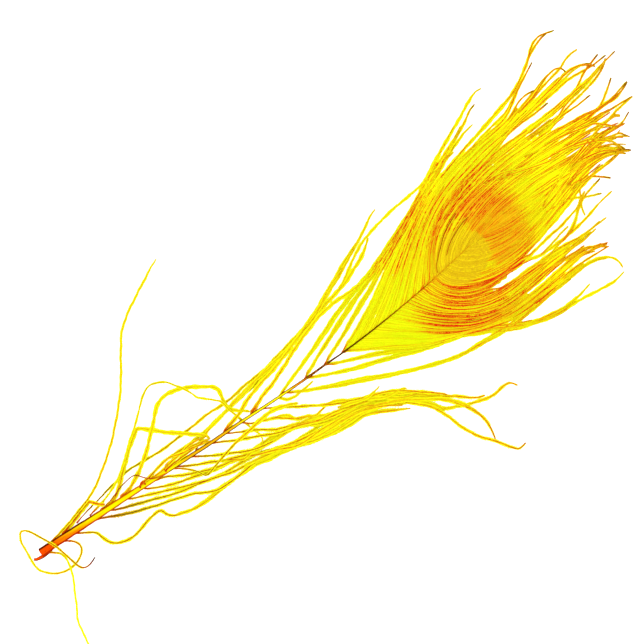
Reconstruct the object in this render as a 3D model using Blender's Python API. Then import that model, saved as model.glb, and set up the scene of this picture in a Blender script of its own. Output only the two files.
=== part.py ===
"""A bleached and dyed peacock eye feather lying flat, with its cut quill, loose barbs and two strays."""

import math

import bpy
import bmesh

MM = 0.001

# Where the quill end lies from the middle of the feather's box, in millimetres.
QUILL_END_X = -123.38
QUILL_END_Y = 5.36

# Strips of barbs: height of the section over its width, and how far neighbours reach over each other.
VANE_SECTION_HEIGHT = 0.30
LOOSE_SECTION_HEIGHT = 0.55
VANE_OVERLAP = 1.16
WIDEST_VANE_STRIP = 4.4
EYE_TIP_WIDTH = 0.8
VANE_EDGE_WIDTH = 2.0
TIP_STRIP_WIDTH = 0.9
LOOSE_STRIP_WIDTH = 1.35
HUGGING_STRIP_WIDTH = 1.3
BUNDLE_STRIP_WIDTH = 1.8
STRAY_WIDTH = 0.9
SLIVER_WIDTH = 1.2
ROOT_WIDTH = 0.85
FULL_WIDTH_AFTER = 30.0
SMALLEST_END = 0.5
TAPER_FROM = 0.78
VANE_TAPER_FROM = 0.48
UPPER_EDGE_STRIPS = 4
LOWER_EDGE_STRIPS = 3
# Strips on either side of the white slits past the eye are drawn in from this share of their length on.
EARLY_TAPERS = {"lower_vane_9": 0.36, "lower_vane_10": 0.3, "lower_vane_11": 0.3, "upper_vane_9": 0.4}
# A route's points are dropped where the strip without them stays as near to them as this, in millimetres.
ROUTE_TOLERANCE = 0.18

# The routes are as the photo's camera sees them. It stood this high over this place, in millimetres.
CAMERA_ALONG = 120.3
CAMERA_ACROSS = 6.8
CAMERA_HEIGHT = 597.3

# Heights above the surface, in millimetres.
REST_DEPTH = 0.05
REST_STEP = 0.0015
REST_STRIDE = 29
REST_DEPTHS = 73
ROOT_BELOW_SHAFT_CENTRE = 0.35
VANE_DROOP = 48.0
LOOSE_DROOP = 62.0
BUNDLE_LAYER = 0.42
BUNDLE_LAYERS = 3
TABLE_CUT_DEPTH = 4.0
TABLE_CUT_SIZE = 330.0

SHAFT_SIDES_RESOLUTION = 2
LARGEST_POCKET_CORNERS = 40
FEATHER_COLOUR = (0.90, 0.66, 0.03)
FEATHER_ROUGHNESS = 0.62

# The shaft from its cut end to the eye: along, across, height of its centre, diameter, in millimetres.
SHAFT = [
    (-0.4, 0.25, 1.55, 3.2),
    (5, 0.05, 1.5, 2.95),
    (10, -0.25, 1.5, 2.8),
    (20, -0.9, 1.7, 2.55),
    (30, -1.5, 2.1, 2.2),
    (40, -2.1, 2.6, 2.0),
    (50, -2.8, 3.0, 1.65),
    (60, -3.3, 3.3, 1.35),
    (70, -3.8, 3.5, 1.15),
    (80, -4.4, 3.6, 1.05),
    (90, -4.9, 3.55, 1.0),
    (100, -5.3, 3.4, 0.95),
    (110, -5.8, 3.2, 0.9),
    (120, -5.95, 2.9, 0.85),
    (130, -5.9, 2.6, 0.8),
    (140, -5.5, 2.3, 0.75),
    (150, -4.9, 2.0, 0.7),
    (160, -4.2, 1.75, 0.66),
    (170, -3.1, 1.55, 0.6),
    (180, -2.3, 1.35, 0.5),
    (190, -1.8, 1.1, 0.4),
]

# The sliver torn from the cut end.
TORN_SLIVER = [(3, -0.9, 0.5), (0, -1.1, 0.35), (-1.8, -0.9, 0.25), (-3, -0.6, 0.3), (-3.6, -0.1, 0.3)]

# Routes of the strips in the vane above the shaft, from root to tip: along, across.
UPPER_VANE = [
    [(95, -4.7), (100, -3.2), (104, -2), (108, -0.7), (112, 0.6), (116, 2), (120, 3.3), (124, 4.8),
     (128, 6.1), (132, 7.2), (136, 8.3), (144, 10.2), (152, 13), (160, 16.1), (168, 19.4), (175, 22.8),
     (182, 26.3), (190, 30), (198, 33.5), (204, 36.3), (207.5, 37.6), (210, 37.4)],
    [(105.5, -5.1), (109, -3.7), (113, -2), (117, -0.6), (121, 1), (125, 2.6), (129, 4.2), (133, 5.7),
     (137, 7), (141, 8.2), (145, 9.4), (153, 12.2), (161, 15.7), (170, 19.8), (178, 23.5), (186, 26.6),
     (193, 29.3), (199, 32), (202.5, 34), (205, 34.7)],
    [(114, -5.3), (118, -3.6), (122, -2), (126, -0.3), (130, 1.4), (134, 3.2), (138, 4.8), (142, 6.4),
     (146, 8.2), (150, 9.9), (154, 11.6), (162, 15.2), (170, 18.8), (178, 22.4), (185, 25), (191, 27.2),
     (196, 28.9), (200.5, 29.7)],
    [(121, -5.7), (124, -4.4), (128, -2.8), (135, 0.3), (142, 3.7), (150, 8), (158, 12), (166, 16),
     (174, 20), (182, 23.3), (192, 27.8)],
    [(128, -5.9), (134, -2.8), (141, 1), (148, 5.3), (156, 10), (164, 14.6), (172, 18.8), (181, 22),
     (190, 24), (200, 26), (210, 28.3), (217, 30), (223, 32.6), (227, 34.9), (229, 36.4), (232, 38.6),
     (235, 39.9), (237, 39.6), (241, 38.5)],
    [(134, -5.8), (140, -2.5), (147, 2), (154, 6.8), (161, 11.5), (168, 15.6), (176, 19), (185, 21.8),
     (194, 22.9), (203, 23.8), (209, 24.4), (213, 25.9), (217, 28.4), (220.5, 30.4), (224.5, 32.4),
     (228.8, 34.5)],
    [(140, -5.5), (146, -1.5), (152, 3), (158, 7.6), (165, 12.3), (173, 16.5), (182, 19.8), (192, 21.8),
     (202, 23), (210, 23.7), (214, 25), (217.5, 26.6), (221, 27), (224, 26.4)],
    [(146, -5.2), (151, -1), (156, 3.2), (162, 8), (169, 12.6), (177, 16.4), (187, 19.3), (198, 21.2),
     (210, 22.3), (222, 24.8), (229, 27.3), (233, 28), (235.2, 27.3), (235.8, 24.6)],
    [(151, -4.9), (155, -0.8), (160, 4), (166, 9), (173, 13.3), (181, 16.4), (191, 18.6), (203, 20),
     (216, 21.5), (228, 23.6), (237, 24.9), (241.5, 24), (244.3, 22.2)],
    [(155, -4.6), (158.5, -0.5), (163, 4.4), (168.5, 9), (175, 12.6), (184, 15.4), (195, 17.4),
     (208, 19.9), (222, 21.4), (235, 22.7), (243, 21.8), (250, 21.7)],
    [(158.5, -4.3), (161, -0.5), (164.5, 4), (169.5, 8.3), (176, 11.5), (185, 14.2), (197, 16.4),
     (211, 17.2), (225, 17.4), (237, 18.4), (246, 20), (253.4, 21)],
    [(161, -4.1), (162.5, -1), (165.5, 3), (170, 6.8), (176.5, 9.9), (185, 12.2), (196, 13.7),
     (209, 14.2), (222, 14), (231, 13.8), (238, 14.1)],
    [(163.5, -3.9), (164.5, -1.3), (167.5, 1.9), (172, 5), (178.5, 7.9), (187, 10), (197, 10.9),
     (208, 10.9), (220, 10.7), (232, 9.4), (242, 8.7), (250.5, 10.5)],
    [(167, -3.4), (170, -0.6), (174.5, 2.2), (181, 4.8), (190, 6.9), (200, 7.7), (211, 7.4), (222, 6.9),
     (232, 6.7), (241, 6.2), (249, 5.3)],
    [(171, -3), (175, -0.6), (181, 1.6), (189, 3.4), (199, 4.2), (210, 4), (221, 3), (231, 1.9),
     (238, 0.6), (241.5, -0.5)],
    [(176, -2.6), (181, -1.2), (188, 0), (198, 0.6), (209, 0.3), (220, -0.5), (230, -1.1), (237, -1.6),
     (239, -3), (240.3, -5)],
    [(183, -2.2), (190, -2), (200, -2.3), (211, -3), (221, -3.6), (229, -4.6), (235, -6.9), (238, -8.7)],
]

# The same below the shaft.
LOWER_VANE = [
    [(98, -5.9), (105, -9.8), (112, -13.3), (120, -17), (128, -21), (136, -24.7), (144, -27.7),
     (152, -30.1), (160, -31), (170, -32), (180, -31.8), (190, -31.3), (203, -31.2)],
    [(106, -6), (113, -9.3), (120, -12.3), (127, -14.8), (134, -17.5), (140, -20), (146, -22.3),
     (152, -23.9), (155.8, -25), (158.8, -26.6), (161.7, -28.2), (165, -29.8), (168, -31.6), (172, -33.7),
     (179, -36.2), (186, -38.3), (193, -38.9), (201, -39.9), (207, -40.5), (212, -39.8)],
    [(114, -6), (120, -9), (127, -12.2), (134, -15.6), (140, -18.8), (146, -21.5), (152, -23.2),
     (157, -24.8), (161, -26.7), (165, -28.9), (169, -31.3), (175, -34.2), (182, -36.7), (189, -38),
     (195, -37.7), (200.5, -36.6)],
    [(121, -6), (127, -9.5), (134, -13.5), (140, -17.5), (146, -20.8), (152, -23.1), (158, -25.4),
     (163, -27.5), (168, -29.3), (174, -30.6), (184, -31.2), (194, -30.4), (203, -30.6), (208, -31.8),
     (211, -33.6), (212.4, -36), (212.5, -38.8)],
    [(128, -5.9), (133, -9.5), (139, -14), (145, -18.6), (151, -21.9), (158, -25), (166, -28.2),
     (176, -30.2), (188, -30.2), (200, -29.4), (213, -30.2)],
    [(134, -5.8), (138.5, -9.8), (144, -14.5), (150, -19.5), (156, -23.4), (163, -26.5), (172, -28.8),
     (183, -29.2), (195, -28.3), (204, -27.5), (213, -29.3)],
    [(140, -5.5), (144, -9.8), (149, -14.8), (154.5, -19.8), (161, -24.2), (169, -27), (179, -27.8),
     (190, -27.2), (200, -26.2), (207, -26.7), (213.4, -28.9)],
    [(146, -5.2), (149, -9.5), (153, -14.3), (158.5, -19), (165, -23), (173, -25.3), (183, -25.6),
     (194, -25), (206.5, -25.4)],
    [(151, -4.9), (153, -9), (156.5, -13.8), (161.5, -18.2), (168, -21.7), (176, -23.4), (186, -23.3),
     (196, -22.8), (206, -23.3), (213, -22.9)],
    [(155, -4.6), (156, -8), (159, -12.5), (163.5, -16.4), (170, -19.3), (178, -20.5), (188, -20.3),
     (198, -20.8), (208, -22), (218, -22.3)],
    [(158, -4.4), (159.5, -8), (162.5, -12), (167, -15.1), (173, -16.8), (181, -17.5), (188, -17.9),
     (194, -19.3), (203, -19.3), (212, -18.1), (219, -16.5), (224.7, -15.9)],
    [(160.5, -4.2), (161.5, -7.5), (164.5, -11), (169, -14), (175, -16), (183, -16.9), (190, -17),
     (197, -15.9), (205, -14.9), (212, -13.7), (217, -11)],
    [(162.5, -4.1), (163.5, -7), (166.5, -10.2), (171, -12.8), (177, -14.7), (185, -15.6), (193, -14.8),
     (202, -12.9), (211, -10.7), (218, -8.6), (224, -7.8), (235, -7.4)],
    [(165, -3.8), (166.5, -6.3), (170, -9.2), (175.5, -11.6), (183, -13), (191, -12.8), (200, -11),
     (210, -8.6), (219, -6.1), (228, -5.2), (233, -6.4), (236, -8.6)],
    [(169, -3.4), (171.5, -6), (176, -8.5), (182.5, -10.2), (191, -10.4), (201, -9), (211, -6.4),
     (221, -3.6), (228, -3.1), (232, -4.2), (235, -6.2), (238, -8.6)],
    [(174, -3), (177.5, -5.2), (183, -7), (191, -7.8), (201, -7), (212, -4.4), (222, -1.7), (231, -1),
     (237, -2.7), (240, -4.8)],
    [(180, -2.5), (185, -4.2), (192, -5.2), (202, -4.8), (213, -2.6), (223, -0.4), (232, 0.6), (240, 0.2),
     (245, 2)],
]

# Thin tips that branch off near the end of the eye.
TIPS = [
    [(225, 9), (232, 8.2), (238, 9.1), (243, 11.8), (247, 14.6)],
    [(222, 17.5), (230, 18), (235, 18.5), (240, 21), (244, 22.4), (248, 23.5)],
    [(212, 14.6), (220, 14.4), (225, 14.5), (232, 15.6), (240, 16.8), (246, 18.6), (249.3, 20.9)],
    [(215, 23.5), (223, 25), (230, 26.3), (235, 27.2), (238, 28.4), (241, 29), (243.5, 28.9)],
    [(215, 5), (225, 5.5), (235, 4), (240, 4), (242, 2.7)],
    [(196, -20.5), (205, -18.5), (210, -15.8), (215, -12.5), (219, -11.3), (224, -10.3)],
    [(200, -8.5), (208, -9), (213, -10.3), (216, -12.2), (221.5, -14.6)],
    [(206, -6.5), (215, -6.3), (221, -7.5), (224, -9.5), (227, -12.3)],
    [(190, -25.8), (198, -25.2), (206, -25.9), (209, -27.6), (212.5, -30)],
    [(198, -20.2), (205, -19), (209, -16.8), (212, -14), (214.5, -12), (217.4, -10.7)],
    [(193, -19), (198, -18.2), (203, -17.2), (206, -16.8)],
    [(216.5, -9), (215, -11.6), (213.4, -14.4), (212.6, -17.3)],
    [(205, 19.6), (214, 20.2), (220, 20.1), (225, 20.4)],
    [(231, 3), (238, 3.9), (243, 4.8), (249, 5.3)],
    [(234, 9), (243, 8.2), (247, 8.9), (250.4, 10.2)],
    [(225, 33.7), (230, 36.9), (233, 38.2), (236, 39.1), (238.5, 39.4)],
    [(229, -1.2), (234, -3.5), (236, -6), (236.5, -7.8)],
]

# Loose barbs above the shaft. A third number is a height that the rule for heights doesn't give.
UPPER_LOOSE = [
    [(9, 1.2), (12, 1.7), (15, 2.4), (18, 3.4), (21, 4.2), (22.6, 4.2, 2.4), (23.8, 3, 2.6),
     (25, 1.8, 2.6), (26.3, 0.5, 2.6)],
    [(15, 1.2), (20, 2.3), (25, 3), (30, 3.9), (35, 4.6), (39, 4.95), (42, 4.8), (46, 4.3), (50, 3.9),
     (54, 3.7), (58, 3.9), (66, 4.2), (72, 4.5), (77, 4), (82, 4.1), (88, 4.9), (94, 5), (100, 5.9),
     (105, 6.8), (110, 7.6), (115, 8.5), (120, 9.3), (126, 10.4), (131.5, 11.5), (136, 13.7), (140, 16),
     (144, 18.3), (148, 20), (152, 21), (157, 21.9), (162, 22.6), (172, 23.2), (182, 24.6), (190, 26)],
    [(24, -0.4), (28, -0.3), (31, 0.8), (33, 2.2), (35, 3.6), (37, 5.1), (39, 6.8), (41, 8.4),
     (43, 10), (45, 11.5), (47, 12.8), (49, 13.9), (50.3, 14.4), (53, 12, 0.8), (55.8, 9.1, 1.4),
     (58, 7, 1.9), (60.1, 5, 2.3), (62, 3.4, 2.7), (64, 1.8, 3.0), (66, 0.1, 3.2), (67.2, -1.2, 3.4),
     (67.6, -2.8, 3.5)],
    [(20, 0.5), (26, 1.6), (30, 2.7), (34, 4.4, 2.2), (38, 7, 2.8), (42, 10, 3.4), (46, 13, 4.0),
     (50, 15.7, 4.5), (53, 18.1, 4.7), (57.6, 21.8, 5.0), (60, 23.1, 5.1), (61.5, 23.6, 5.1),
     (64, 23, 5.1), (67, 21.2, 5.0), (68.5, 18.8, 4.9), (70.1, 16.4, 4.9), (71.6, 13.3, 4.8),
     (72.6, 10.6, 4.7), (74.3, 9.3, 4.7), (75.8, 7.5, 4.7), (77.4, 6, 4.7), (78.2, 4.5, 4.7),
     (78.5, 1, 4.8), (78.9, -0.5, 4.8), (79.5, -2.5, 4.7), (79.8, -4.4, 4.5), (80.6, -7, 4.0),
     (81.2, -9.5, 3.4), (81.9, -12.3, 2.6), (80.4, -14.5, 2.4)],
    [(32, -0.9), (34.5, -0.4), (37.2, 0.4), (39.5, 1.4), (41.5, 2.4), (43.5, 3.6), (45.5, 4.9), (48, 6.6),
     (50, 8.2), (52.5, 10.2), (55, 12.3), (57.6, 14.6), (60, 16.7), (62.4, 17.7), (64.7, 17.9),
     (67.4, 17.4, 0.8), (70, 16.5, 1.4), (72.4, 15.2, 1.9), (75, 13.5, 2.4), (78.5, 10.8, 3.0),
     (79.5, 8.7, 3.1), (79.3, 7.2, 3.1), (78.7, 5.2, 3.2), (78.4, 3.5, 3.3), (78.4, 2, 3.4),
     (79.3, 0.6, 3.5), (81.2, -1.3, 3.6), (82.8, -2.5, 3.7), (83.9, -3.5, 3.7)],
    [(24, -0.2), (28, 0.4, 2.2), (31, 1.2, 2.6), (33.4, 2, 2.7), (36.5, 2.4, 2.9), (38.4, 2.65, 3.0),
     (40.3, 2.4, 3.3), (41.5, 1, 3.4), (42.6, -0.5, 3.5), (43.8, -2, 3.4)],
    [(73, -3.6), (76, -2.9), (80, -1.9), (84, -0.2), (88, 1.1), (92, 2.2), (97, 3.1), (102, 4.4),
     (110, 6.6), (118, 8.8), (126, 10.6), (133.5, 12), (136.5, 13), (140, 14.4), (143, 15.6),
     (146.2, 17.1), (150, 19.8)],
    [(84, -4.1), (88, -2.5), (92, -1.2), (96, 0), (100, 1.5), (104, 2.9), (108, 4.6), (112, 5.9),
     (115, 6.8), (122, 8.6), (130, 9.2), (138, 9), (146, 9.6), (154, 12)],
]

# Two barbs above the shaft that end in one free tip.
UPPER_BUNDLE = [
    [(40, -1.5), (46, -0.4), (52, 0.4), (60, 0.1), (66, 0.1), (70, 0.5), (76, 1.3), (82, 2.4), (88, 3.4),
     (94, 4.1), (100, 4.9), (106, 6.2), (112, 7.7), (116, 8.7), (120, 9.9), (125, 11.8), (130, 14),
     (135, 15.9), (140, 18), (144, 19.7), (149, 22), (152, 23.8), (154.5, 25.2), (157.5, 26.2)],
    [(62, -2.6), (66, -0.9), (70, 0.2), (76, 1.2), (82, 2.6), (92, 4.3), (102, 5.4), (112, 7.1),
     (121, 9.8), (129, 13.2), (137, 16.5), (144, 19.6)],
]

# Loose barbs below the shaft, with the loop round the quill end.
LOWER_LOOSE = [
    [(8.3, -1.4, 1.2), (10.2, -2.7, 0.9), (11.5, -5.2, 0.4), (10.6, -7.6, 0.1), (7.5, -9.3, -0.05),
     (4, -9.7, -0.05), (1, -9, -0.05), (-2, -7, 0.2), (-4.5, -4, 0.8), (-4.6, 0, 1.5), (-4, 4.4, 2.3),
     (-3.4, 7.6, 2.9), (-1.7, 9.9, 3.3), (0.2, 8.7, 3.5), (2.2, 5, 3.6), (4, 1, 3.5), (5.2, -2.6, 3.2),
     (6.2, -7, 2.1), (7.2, -10.8, 1.0), (8.3, -12.3, 0.7), (10.5, -12.5, 0.5), (13.3, -11.6, 0.6)],
    [(52, -3.4, 3.0), (54, -5, 3.2), (56, -6.8, 3.3), (57.6, -8.6, 3.3), (58.4, -10.2, 3.2),
     (59, -11.6, 3.0), (60.3, -12, 2.9), (63, -11.3, 3.1), (67, -10.3, 3.3), (73, -9, 3.5),
     (80, -8.2, 3.5), (86, -7.6, 3.5), (91, -7.8, 3.5), (95, -9, 3.3), (98.5, -10.7, 3.0)],
    [(94, -5.2), (95.5, -7), (98, -8.1), (102, -8.1), (106.8, -7.6)],
]

# Barbs below the shaft that run together into the lower bundle and part again at its end.
LOWER_BUNDLE = [
    [(12, -1), (15, -2.9), (18, -4.9), (18.8, -7), (19.5, -9.5), (20.6, -11.2), (22.5, -12.7),
     (26, -13.7), (30, -13.5), (35, -12.2), (40, -12), (41.3, -15), (42.5, -16), (46, -17.2),
     (49, -18.2), (52, -18.7), (58, -18.8), (62, -18.4), (67, -18.4), (75, -17.9), (80, -19.1),
     (84, -20), (88, -21.3), (92, -22.9), (96, -24), (100, -24.6), (104, -25.3), (108, -26),
     (112, -26.5), (116, -28), (120, -30.2), (124, -32.4), (127.5, -34.4)],
    [(20, -1.4), (25, -3.6), (30, -6.2), (36, -8.5), (40, -10), (44, -11.3), (48, -12.7), (52, -14.2),
     (55, -15.9), (58, -17.6), (62, -18.3), (68, -18.4), (74, -18), (80, -19), (85, -20.2), (90, -21.5),
     (98, -23.3), (106, -24.7), (114, -26.2), (121, -28.6), (127, -31.8), (132, -36.6), (134.5, -40.3),
     (136.2, -45), (137.5, -49.4), (139.4, -53.8), (141.9, -57.5), (144.4, -60.6), (146.3, -63.8),
     (148.1, -66.3), (150, -67), (151.6, -66.4)],
    [(26, -2), (32, -4.6), (38, -6.9), (45, -9.7), (50, -11.3), (54, -12.1), (58, -13.1), (62, -14.3),
     (66, -15.7), (70, -16.6), (74, -17.2), (79, -18.3), (84, -19.6), (90, -20.8), (96, -21.8),
     (104, -22.9), (112, -24.6), (119, -26.6), (125, -29.2), (128, -30.8), (132.5, -34.2), (135.2, -36.2),
     (138, -38.6), (139.6, -40.2), (141.2, -42.6), (143.1, -45.6), (144.4, -48.8), (145.2, -52.5),
     (145, -55.6), (144.1, -59.4)],
    [(33, -2.4), (40, -5.5), (44, -7.2), (48, -9), (52, -10.7), (56, -12.2), (60, -13.6), (64, -14.5),
     (69, -15.1), (74, -15.7), (79, -16.9), (84, -18.7), (88, -20.1), (94, -20.7), (100, -21),
     (106, -21.9), (114, -23.8), (121, -26.6), (127, -30.4), (132, -35.6), (136.3, -41.2), (138.8, -42.5),
     (141.9, -44), (145, -45.3), (148.8, -46.6), (152.5, -47.3), (155, -47.2), (158.1, -46.6),
     (159.4, -47.5), (160.8, -49.5)],
    [(40, -3), (44, -5.3), (48, -7.2), (52, -8.7), (56, -9.9), (60, -11.4), (64, -12.3), (68, -13.1),
     (72, -14), (76, -14.7), (80, -15.2), (85, -15.9), (89, -15.8), (93, -16.7), (97, -18.2),
     (101, -19.9), (106, -20.9), (112, -22.4), (118, -24.2), (123, -26.2), (127, -28.2), (131, -31),
     (134, -33.6), (138, -37.2), (141.3, -39.4), (143.8, -41.6), (146.3, -43.8), (148.8, -45.3),
     (150.1, -45.6)],
    [(44, -2.9), (48, -4.1), (51, -5.8), (54, -7.6), (58, -9.3), (62, -11), (66, -12.3), (70, -13.4),
     (74, -14.9), (78, -16.7), (82, -18.2), (86, -19.4), (92, -20.9), (98, -22), (104, -23.4), (112, -25),
     (120, -28), (126, -32)],
    [(53, -3.6), (56, -5.4), (60, -7.5), (64, -9.5), (67, -11.3), (70, -12.6), (74, -14.2), (78, -15),
     (82, -15.6), (87, -15.4), (91, -15.7)],
    [(59, -3.8), (62, -5.7), (65, -7.7), (68, -9.4), (71, -11), (74, -12.9), (77, -14.3), (81, -15.4),
     (86, -16.1), (91, -16.3), (96, -17.9), (100, -19.7), (104, -21.2), (110, -23), (118, -25),
     (124, -27.6), (130, -32)],
    [(67, -4.4), (71, -6.3), (73.5, -7.9), (77, -9.7), (81, -11.6), (85, -13.6), (88, -14.9), (91, -15.8),
     (94, -16.7), (98, -18.5), (102, -20.3), (107, -21.5), (114, -22.9), (121, -24.6), (126, -27.2),
     (131, -30), (134, -32.3), (137, -35), (140, -38)],
    [(73, -4.7), (77, -6.9), (81, -9), (84, -11), (87, -13.2), (91, -14.8), (95, -16.5), (98, -18),
     (102, -19.9), (108, -21), (115, -22.8), (121, -24.9), (127, -28.6)],
    [(79.5, -4.8), (82, -6.8), (86, -8.7), (89, -10), (92, -12.2), (95, -14.4), (98, -15.9),
     (100.6, -17.5), (102.5, -17.3), (105, -16.9)],
    [(88, -5.2), (91, -7), (94, -9), (98, -11.9), (102, -14.5), (106, -16.9), (110, -19.1), (114, -20.8),
     (118, -22.6), (122, -24.2), (126, -26.2), (129, -28.2), (132, -30.5), (134, -32.6)],
    [(108, -19.6), (113, -21.4), (118, -22.9), (121, -22.7), (123.6, -22.1)],
]

# Short barbs that lie along the shaft's upper side.
HUGGING = [
    [(40, -1.1, 3.4), (43.7, -0.9, 3.4), (47.7, -0.2, 3.4), (52.5, 0.35, 3.4), (55.4, -0.4, 3.5),
     (58.5, -1.2, 3.6), (62, -1.9, 3.6), (65, -2.8, 3.6), (67.5, -3.4, 3.6)],
    [(42, -1.2, 3.2), (48, -1.8, 3.2), (54, -1.1, 3.3), (61, -1, 3.3), (67, -2.4, 3.4)],
    [(50, -2.2, 3.2), (55, -2.1, 3.2), (60, -2, 3.3), (64, -2.2, 3.4), (67.4, -2.6, 3.4)],
]

# The long stray above the shaft and the one that leaves the quill end below it.
STRAYS = [
    [(3, 0.9, 1.3), (10, 2.2, 1.8), (15, 3.3, 2.3), (20, 4.5, 2.8), (25, 6.0, 3.2), (30, 8.7, 3.7),
     (35, 12, 4.2), (40, 15.7, 4.7), (45, 20, 5.1), (50, 24.8, 5.4), (55, 30.5, 5.5), (60, 37, 5.4),
     (65, 43.3, 5.0), (70, 47, 4.4), (75, 49.8, 3.7), (80, 52.3, 2.9), (85, 54.7, 2.1),
     (89, 56.4, 1.4)],
    [(1.0, -0.8, 1.0), (4, -3, 1.0), (5, -4.6, 0.9), (5, -7, 0.8), (4, -11, 1.0), (2, -15, 1.4),
     (0, -18.8, 1.7), (-2, -22, 1.9), (-4, -25.4, 2.0), (-5, -29, 1.8), (-5.8, -33.5, 1.4),
     (-6.6, -38.6, 0.7)],
]


def length_along(route):
    """Length from the root to each point of a route, seen from above."""
    lengths = [0.0]
    for before, after in zip(route, route[1:]):
        lengths.append(lengths[-1] + math.dist(before[:2], after[:2]))
    return lengths


def ease(share):
    """Runs from 0 to 1 with soft ends."""
    held = min(1.0, max(0.0, share))
    return held * held * (3 - 2 * held)


def shaft_height(along):
    """Height of the shaft's centre at a place along the feather."""
    for before, after in zip(SHAFT, SHAFT[1:]):
        if along <= after[0]:
            share = (along - before[0]) / (after[0] - before[0])
            return before[2] + (after[2] - before[2]) * share
    return SHAFT[-1][2]


def rest_depth(number):
    """Depth at which a strip lies. No two share one, so that no faces of theirs lie in one plane."""
    return -REST_DEPTH - REST_STEP * (number * REST_STRIDE % REST_DEPTHS)


def heights_of(route, rest, droop):
    """A strip leaves the shaft at its height and sinks to its rest, unless the route states a height."""
    root = shaft_height(route[0][0]) - ROOT_BELOW_SHAFT_CENTRE if droop else rest
    heights = []
    for point, length in zip(route, length_along(route)):
        stated = len(point) == 3
        sunk = ease(length / droop) if droop else 1.0
        heights.append(point[2] if stated else root + (rest - root) * sunk)
    return heights


def distance_to(point, route):
    """Shortest distance from a point to a route, seen from above."""
    nearest = math.inf
    for start, end in zip(route, route[1:]):
        run = (end[0] - start[0], end[1] - start[1])
        ahead = (point[0] - start[0]) * run[0] + (point[1] - start[1]) * run[1]
        share = min(1.0, max(0.0, ahead / (run[0] ** 2 + run[1] ** 2)))
        foot = (start[0] + run[0] * share, start[1] + run[1] * share)
        nearest = min(nearest, math.dist(point[:2], foot))
    return nearest


def tapered(route, width):
    """Thin at the root, then even, then drawn in to the tip."""
    lengths = length_along(route)
    widths = []
    for length in lengths:
        share = length / lengths[-1]
        root_width = min(width, ROOT_WIDTH)
        grown = root_width + (width - root_width) * ease(length / FULL_WIDTH_AFTER)
        drawn_in = max(0.0, (share - TAPER_FROM) / (1 - TAPER_FROM))
        widths.append(grown + (SMALLEST_END - grown) * drawn_in)
    return widths


def vane_widths(routes, number, taper_from):
    """Wide enough to meet the strips on both sides, and drawn in to a tip past the eye."""
    route = routes[number]
    beside = [routes[number - 1], routes[number + 1]]
    lengths = length_along(route)
    widths = []
    for point, length in zip(route, lengths):
        share = length / lengths[-1]
        spacing = sum(distance_to(point, other) for other in beside) / len(beside)
        drawn_in = ease((share - taper_from) / (1 - taper_from))
        widest = WIDEST_VANE_STRIP + (EYE_TIP_WIDTH - WIDEST_VANE_STRIP) * drawn_in
        widths.append(max(SMALLEST_END, min(spacing * VANE_OVERLAP, widest)))
    return widths


def true_place(point, height):
    """The camera draws high places outward from the one below it. This is where they really are."""
    nearer = 1 - height / CAMERA_HEIGHT
    along = CAMERA_ALONG + (point[0] - CAMERA_ALONG) * nearer
    across = CAMERA_ACROSS + (point[1] - CAMERA_ACROSS) * nearer
    return along, across


def strip_rows(route, widths, heights):
    """Along, across, height and half width of a strip at each point of its route."""
    rows = []
    for point, width, height in zip(route, widths, heights):
        along, across = true_place(point, height)
        rows.append((along, across, height, width / 2))
    return rows


def thinned(rows):
    """The rows that a strip needs to stay within the tolerance of all of them."""
    first = rows[0]
    last = rows[-1]
    run = [end - start for start, end in zip(first, last)]
    squared = sum(part * part for part in run)
    farthest = 0.0
    split = 0
    for number, row in enumerate(rows[1:-1], 1):
        ahead = sum((value - start) * part for value, start, part in zip(row, first, run))
        share = min(1.0, max(0.0, ahead / squared))
        away = math.dist(row, [start + part * share for start, part in zip(first, run)])
        if away > farthest:
            farthest = away
            split = number
    if farthest <= ROUTE_TOLERANCE:
        return [first, last]
    return thinned(rows[: split + 1])[:-1] + thinned(rows[split:])


def profile(name, height, cutters):
    """Section of a strip one millimetre wide: flat below, with a ridge above."""
    curve = bpy.data.curves.new(name, "CURVE")
    curve.dimensions = "2D"
    spline = curve.splines.new("POLY")
    corners = [(-0.5, 0.0), (0.5, 0.0), (0.0, height)]
    spline.points.add(len(corners) - 1)
    for point, (across, up) in zip(spline.points, corners):
        point.co = (across * MM, up * MM, 0, 1)
    spline.use_cyclic_u = True
    section = bpy.data.objects.new(name, curve)
    section.hide_render = True
    cutters.objects.link(section)
    return section


def as_mesh(curve_object):
    """The curve's own shape as a closed mesh object, in place of the curve."""
    bpy.context.view_layer.update()
    graph = bpy.context.evaluated_depsgraph_get()
    mesh = bpy.data.meshes.new_from_object(curve_object.evaluated_get(graph))
    name = curve_object.name
    matrix = curve_object.matrix_world.copy()
    collection = curve_object.users_collection[0]
    bpy.data.objects.remove(curve_object)
    welded = bmesh.new()
    welded.from_mesh(mesh)
    bmesh.ops.remove_doubles(welded, verts=welded.verts, dist=0.000001)
    bmesh.ops.recalc_face_normals(welded, faces=welded.faces)
    welded.to_mesh(mesh)
    welded.free()
    result = bpy.data.objects.new(name, mesh)
    result.matrix_world = matrix
    collection.objects.link(result)
    return result


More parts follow.
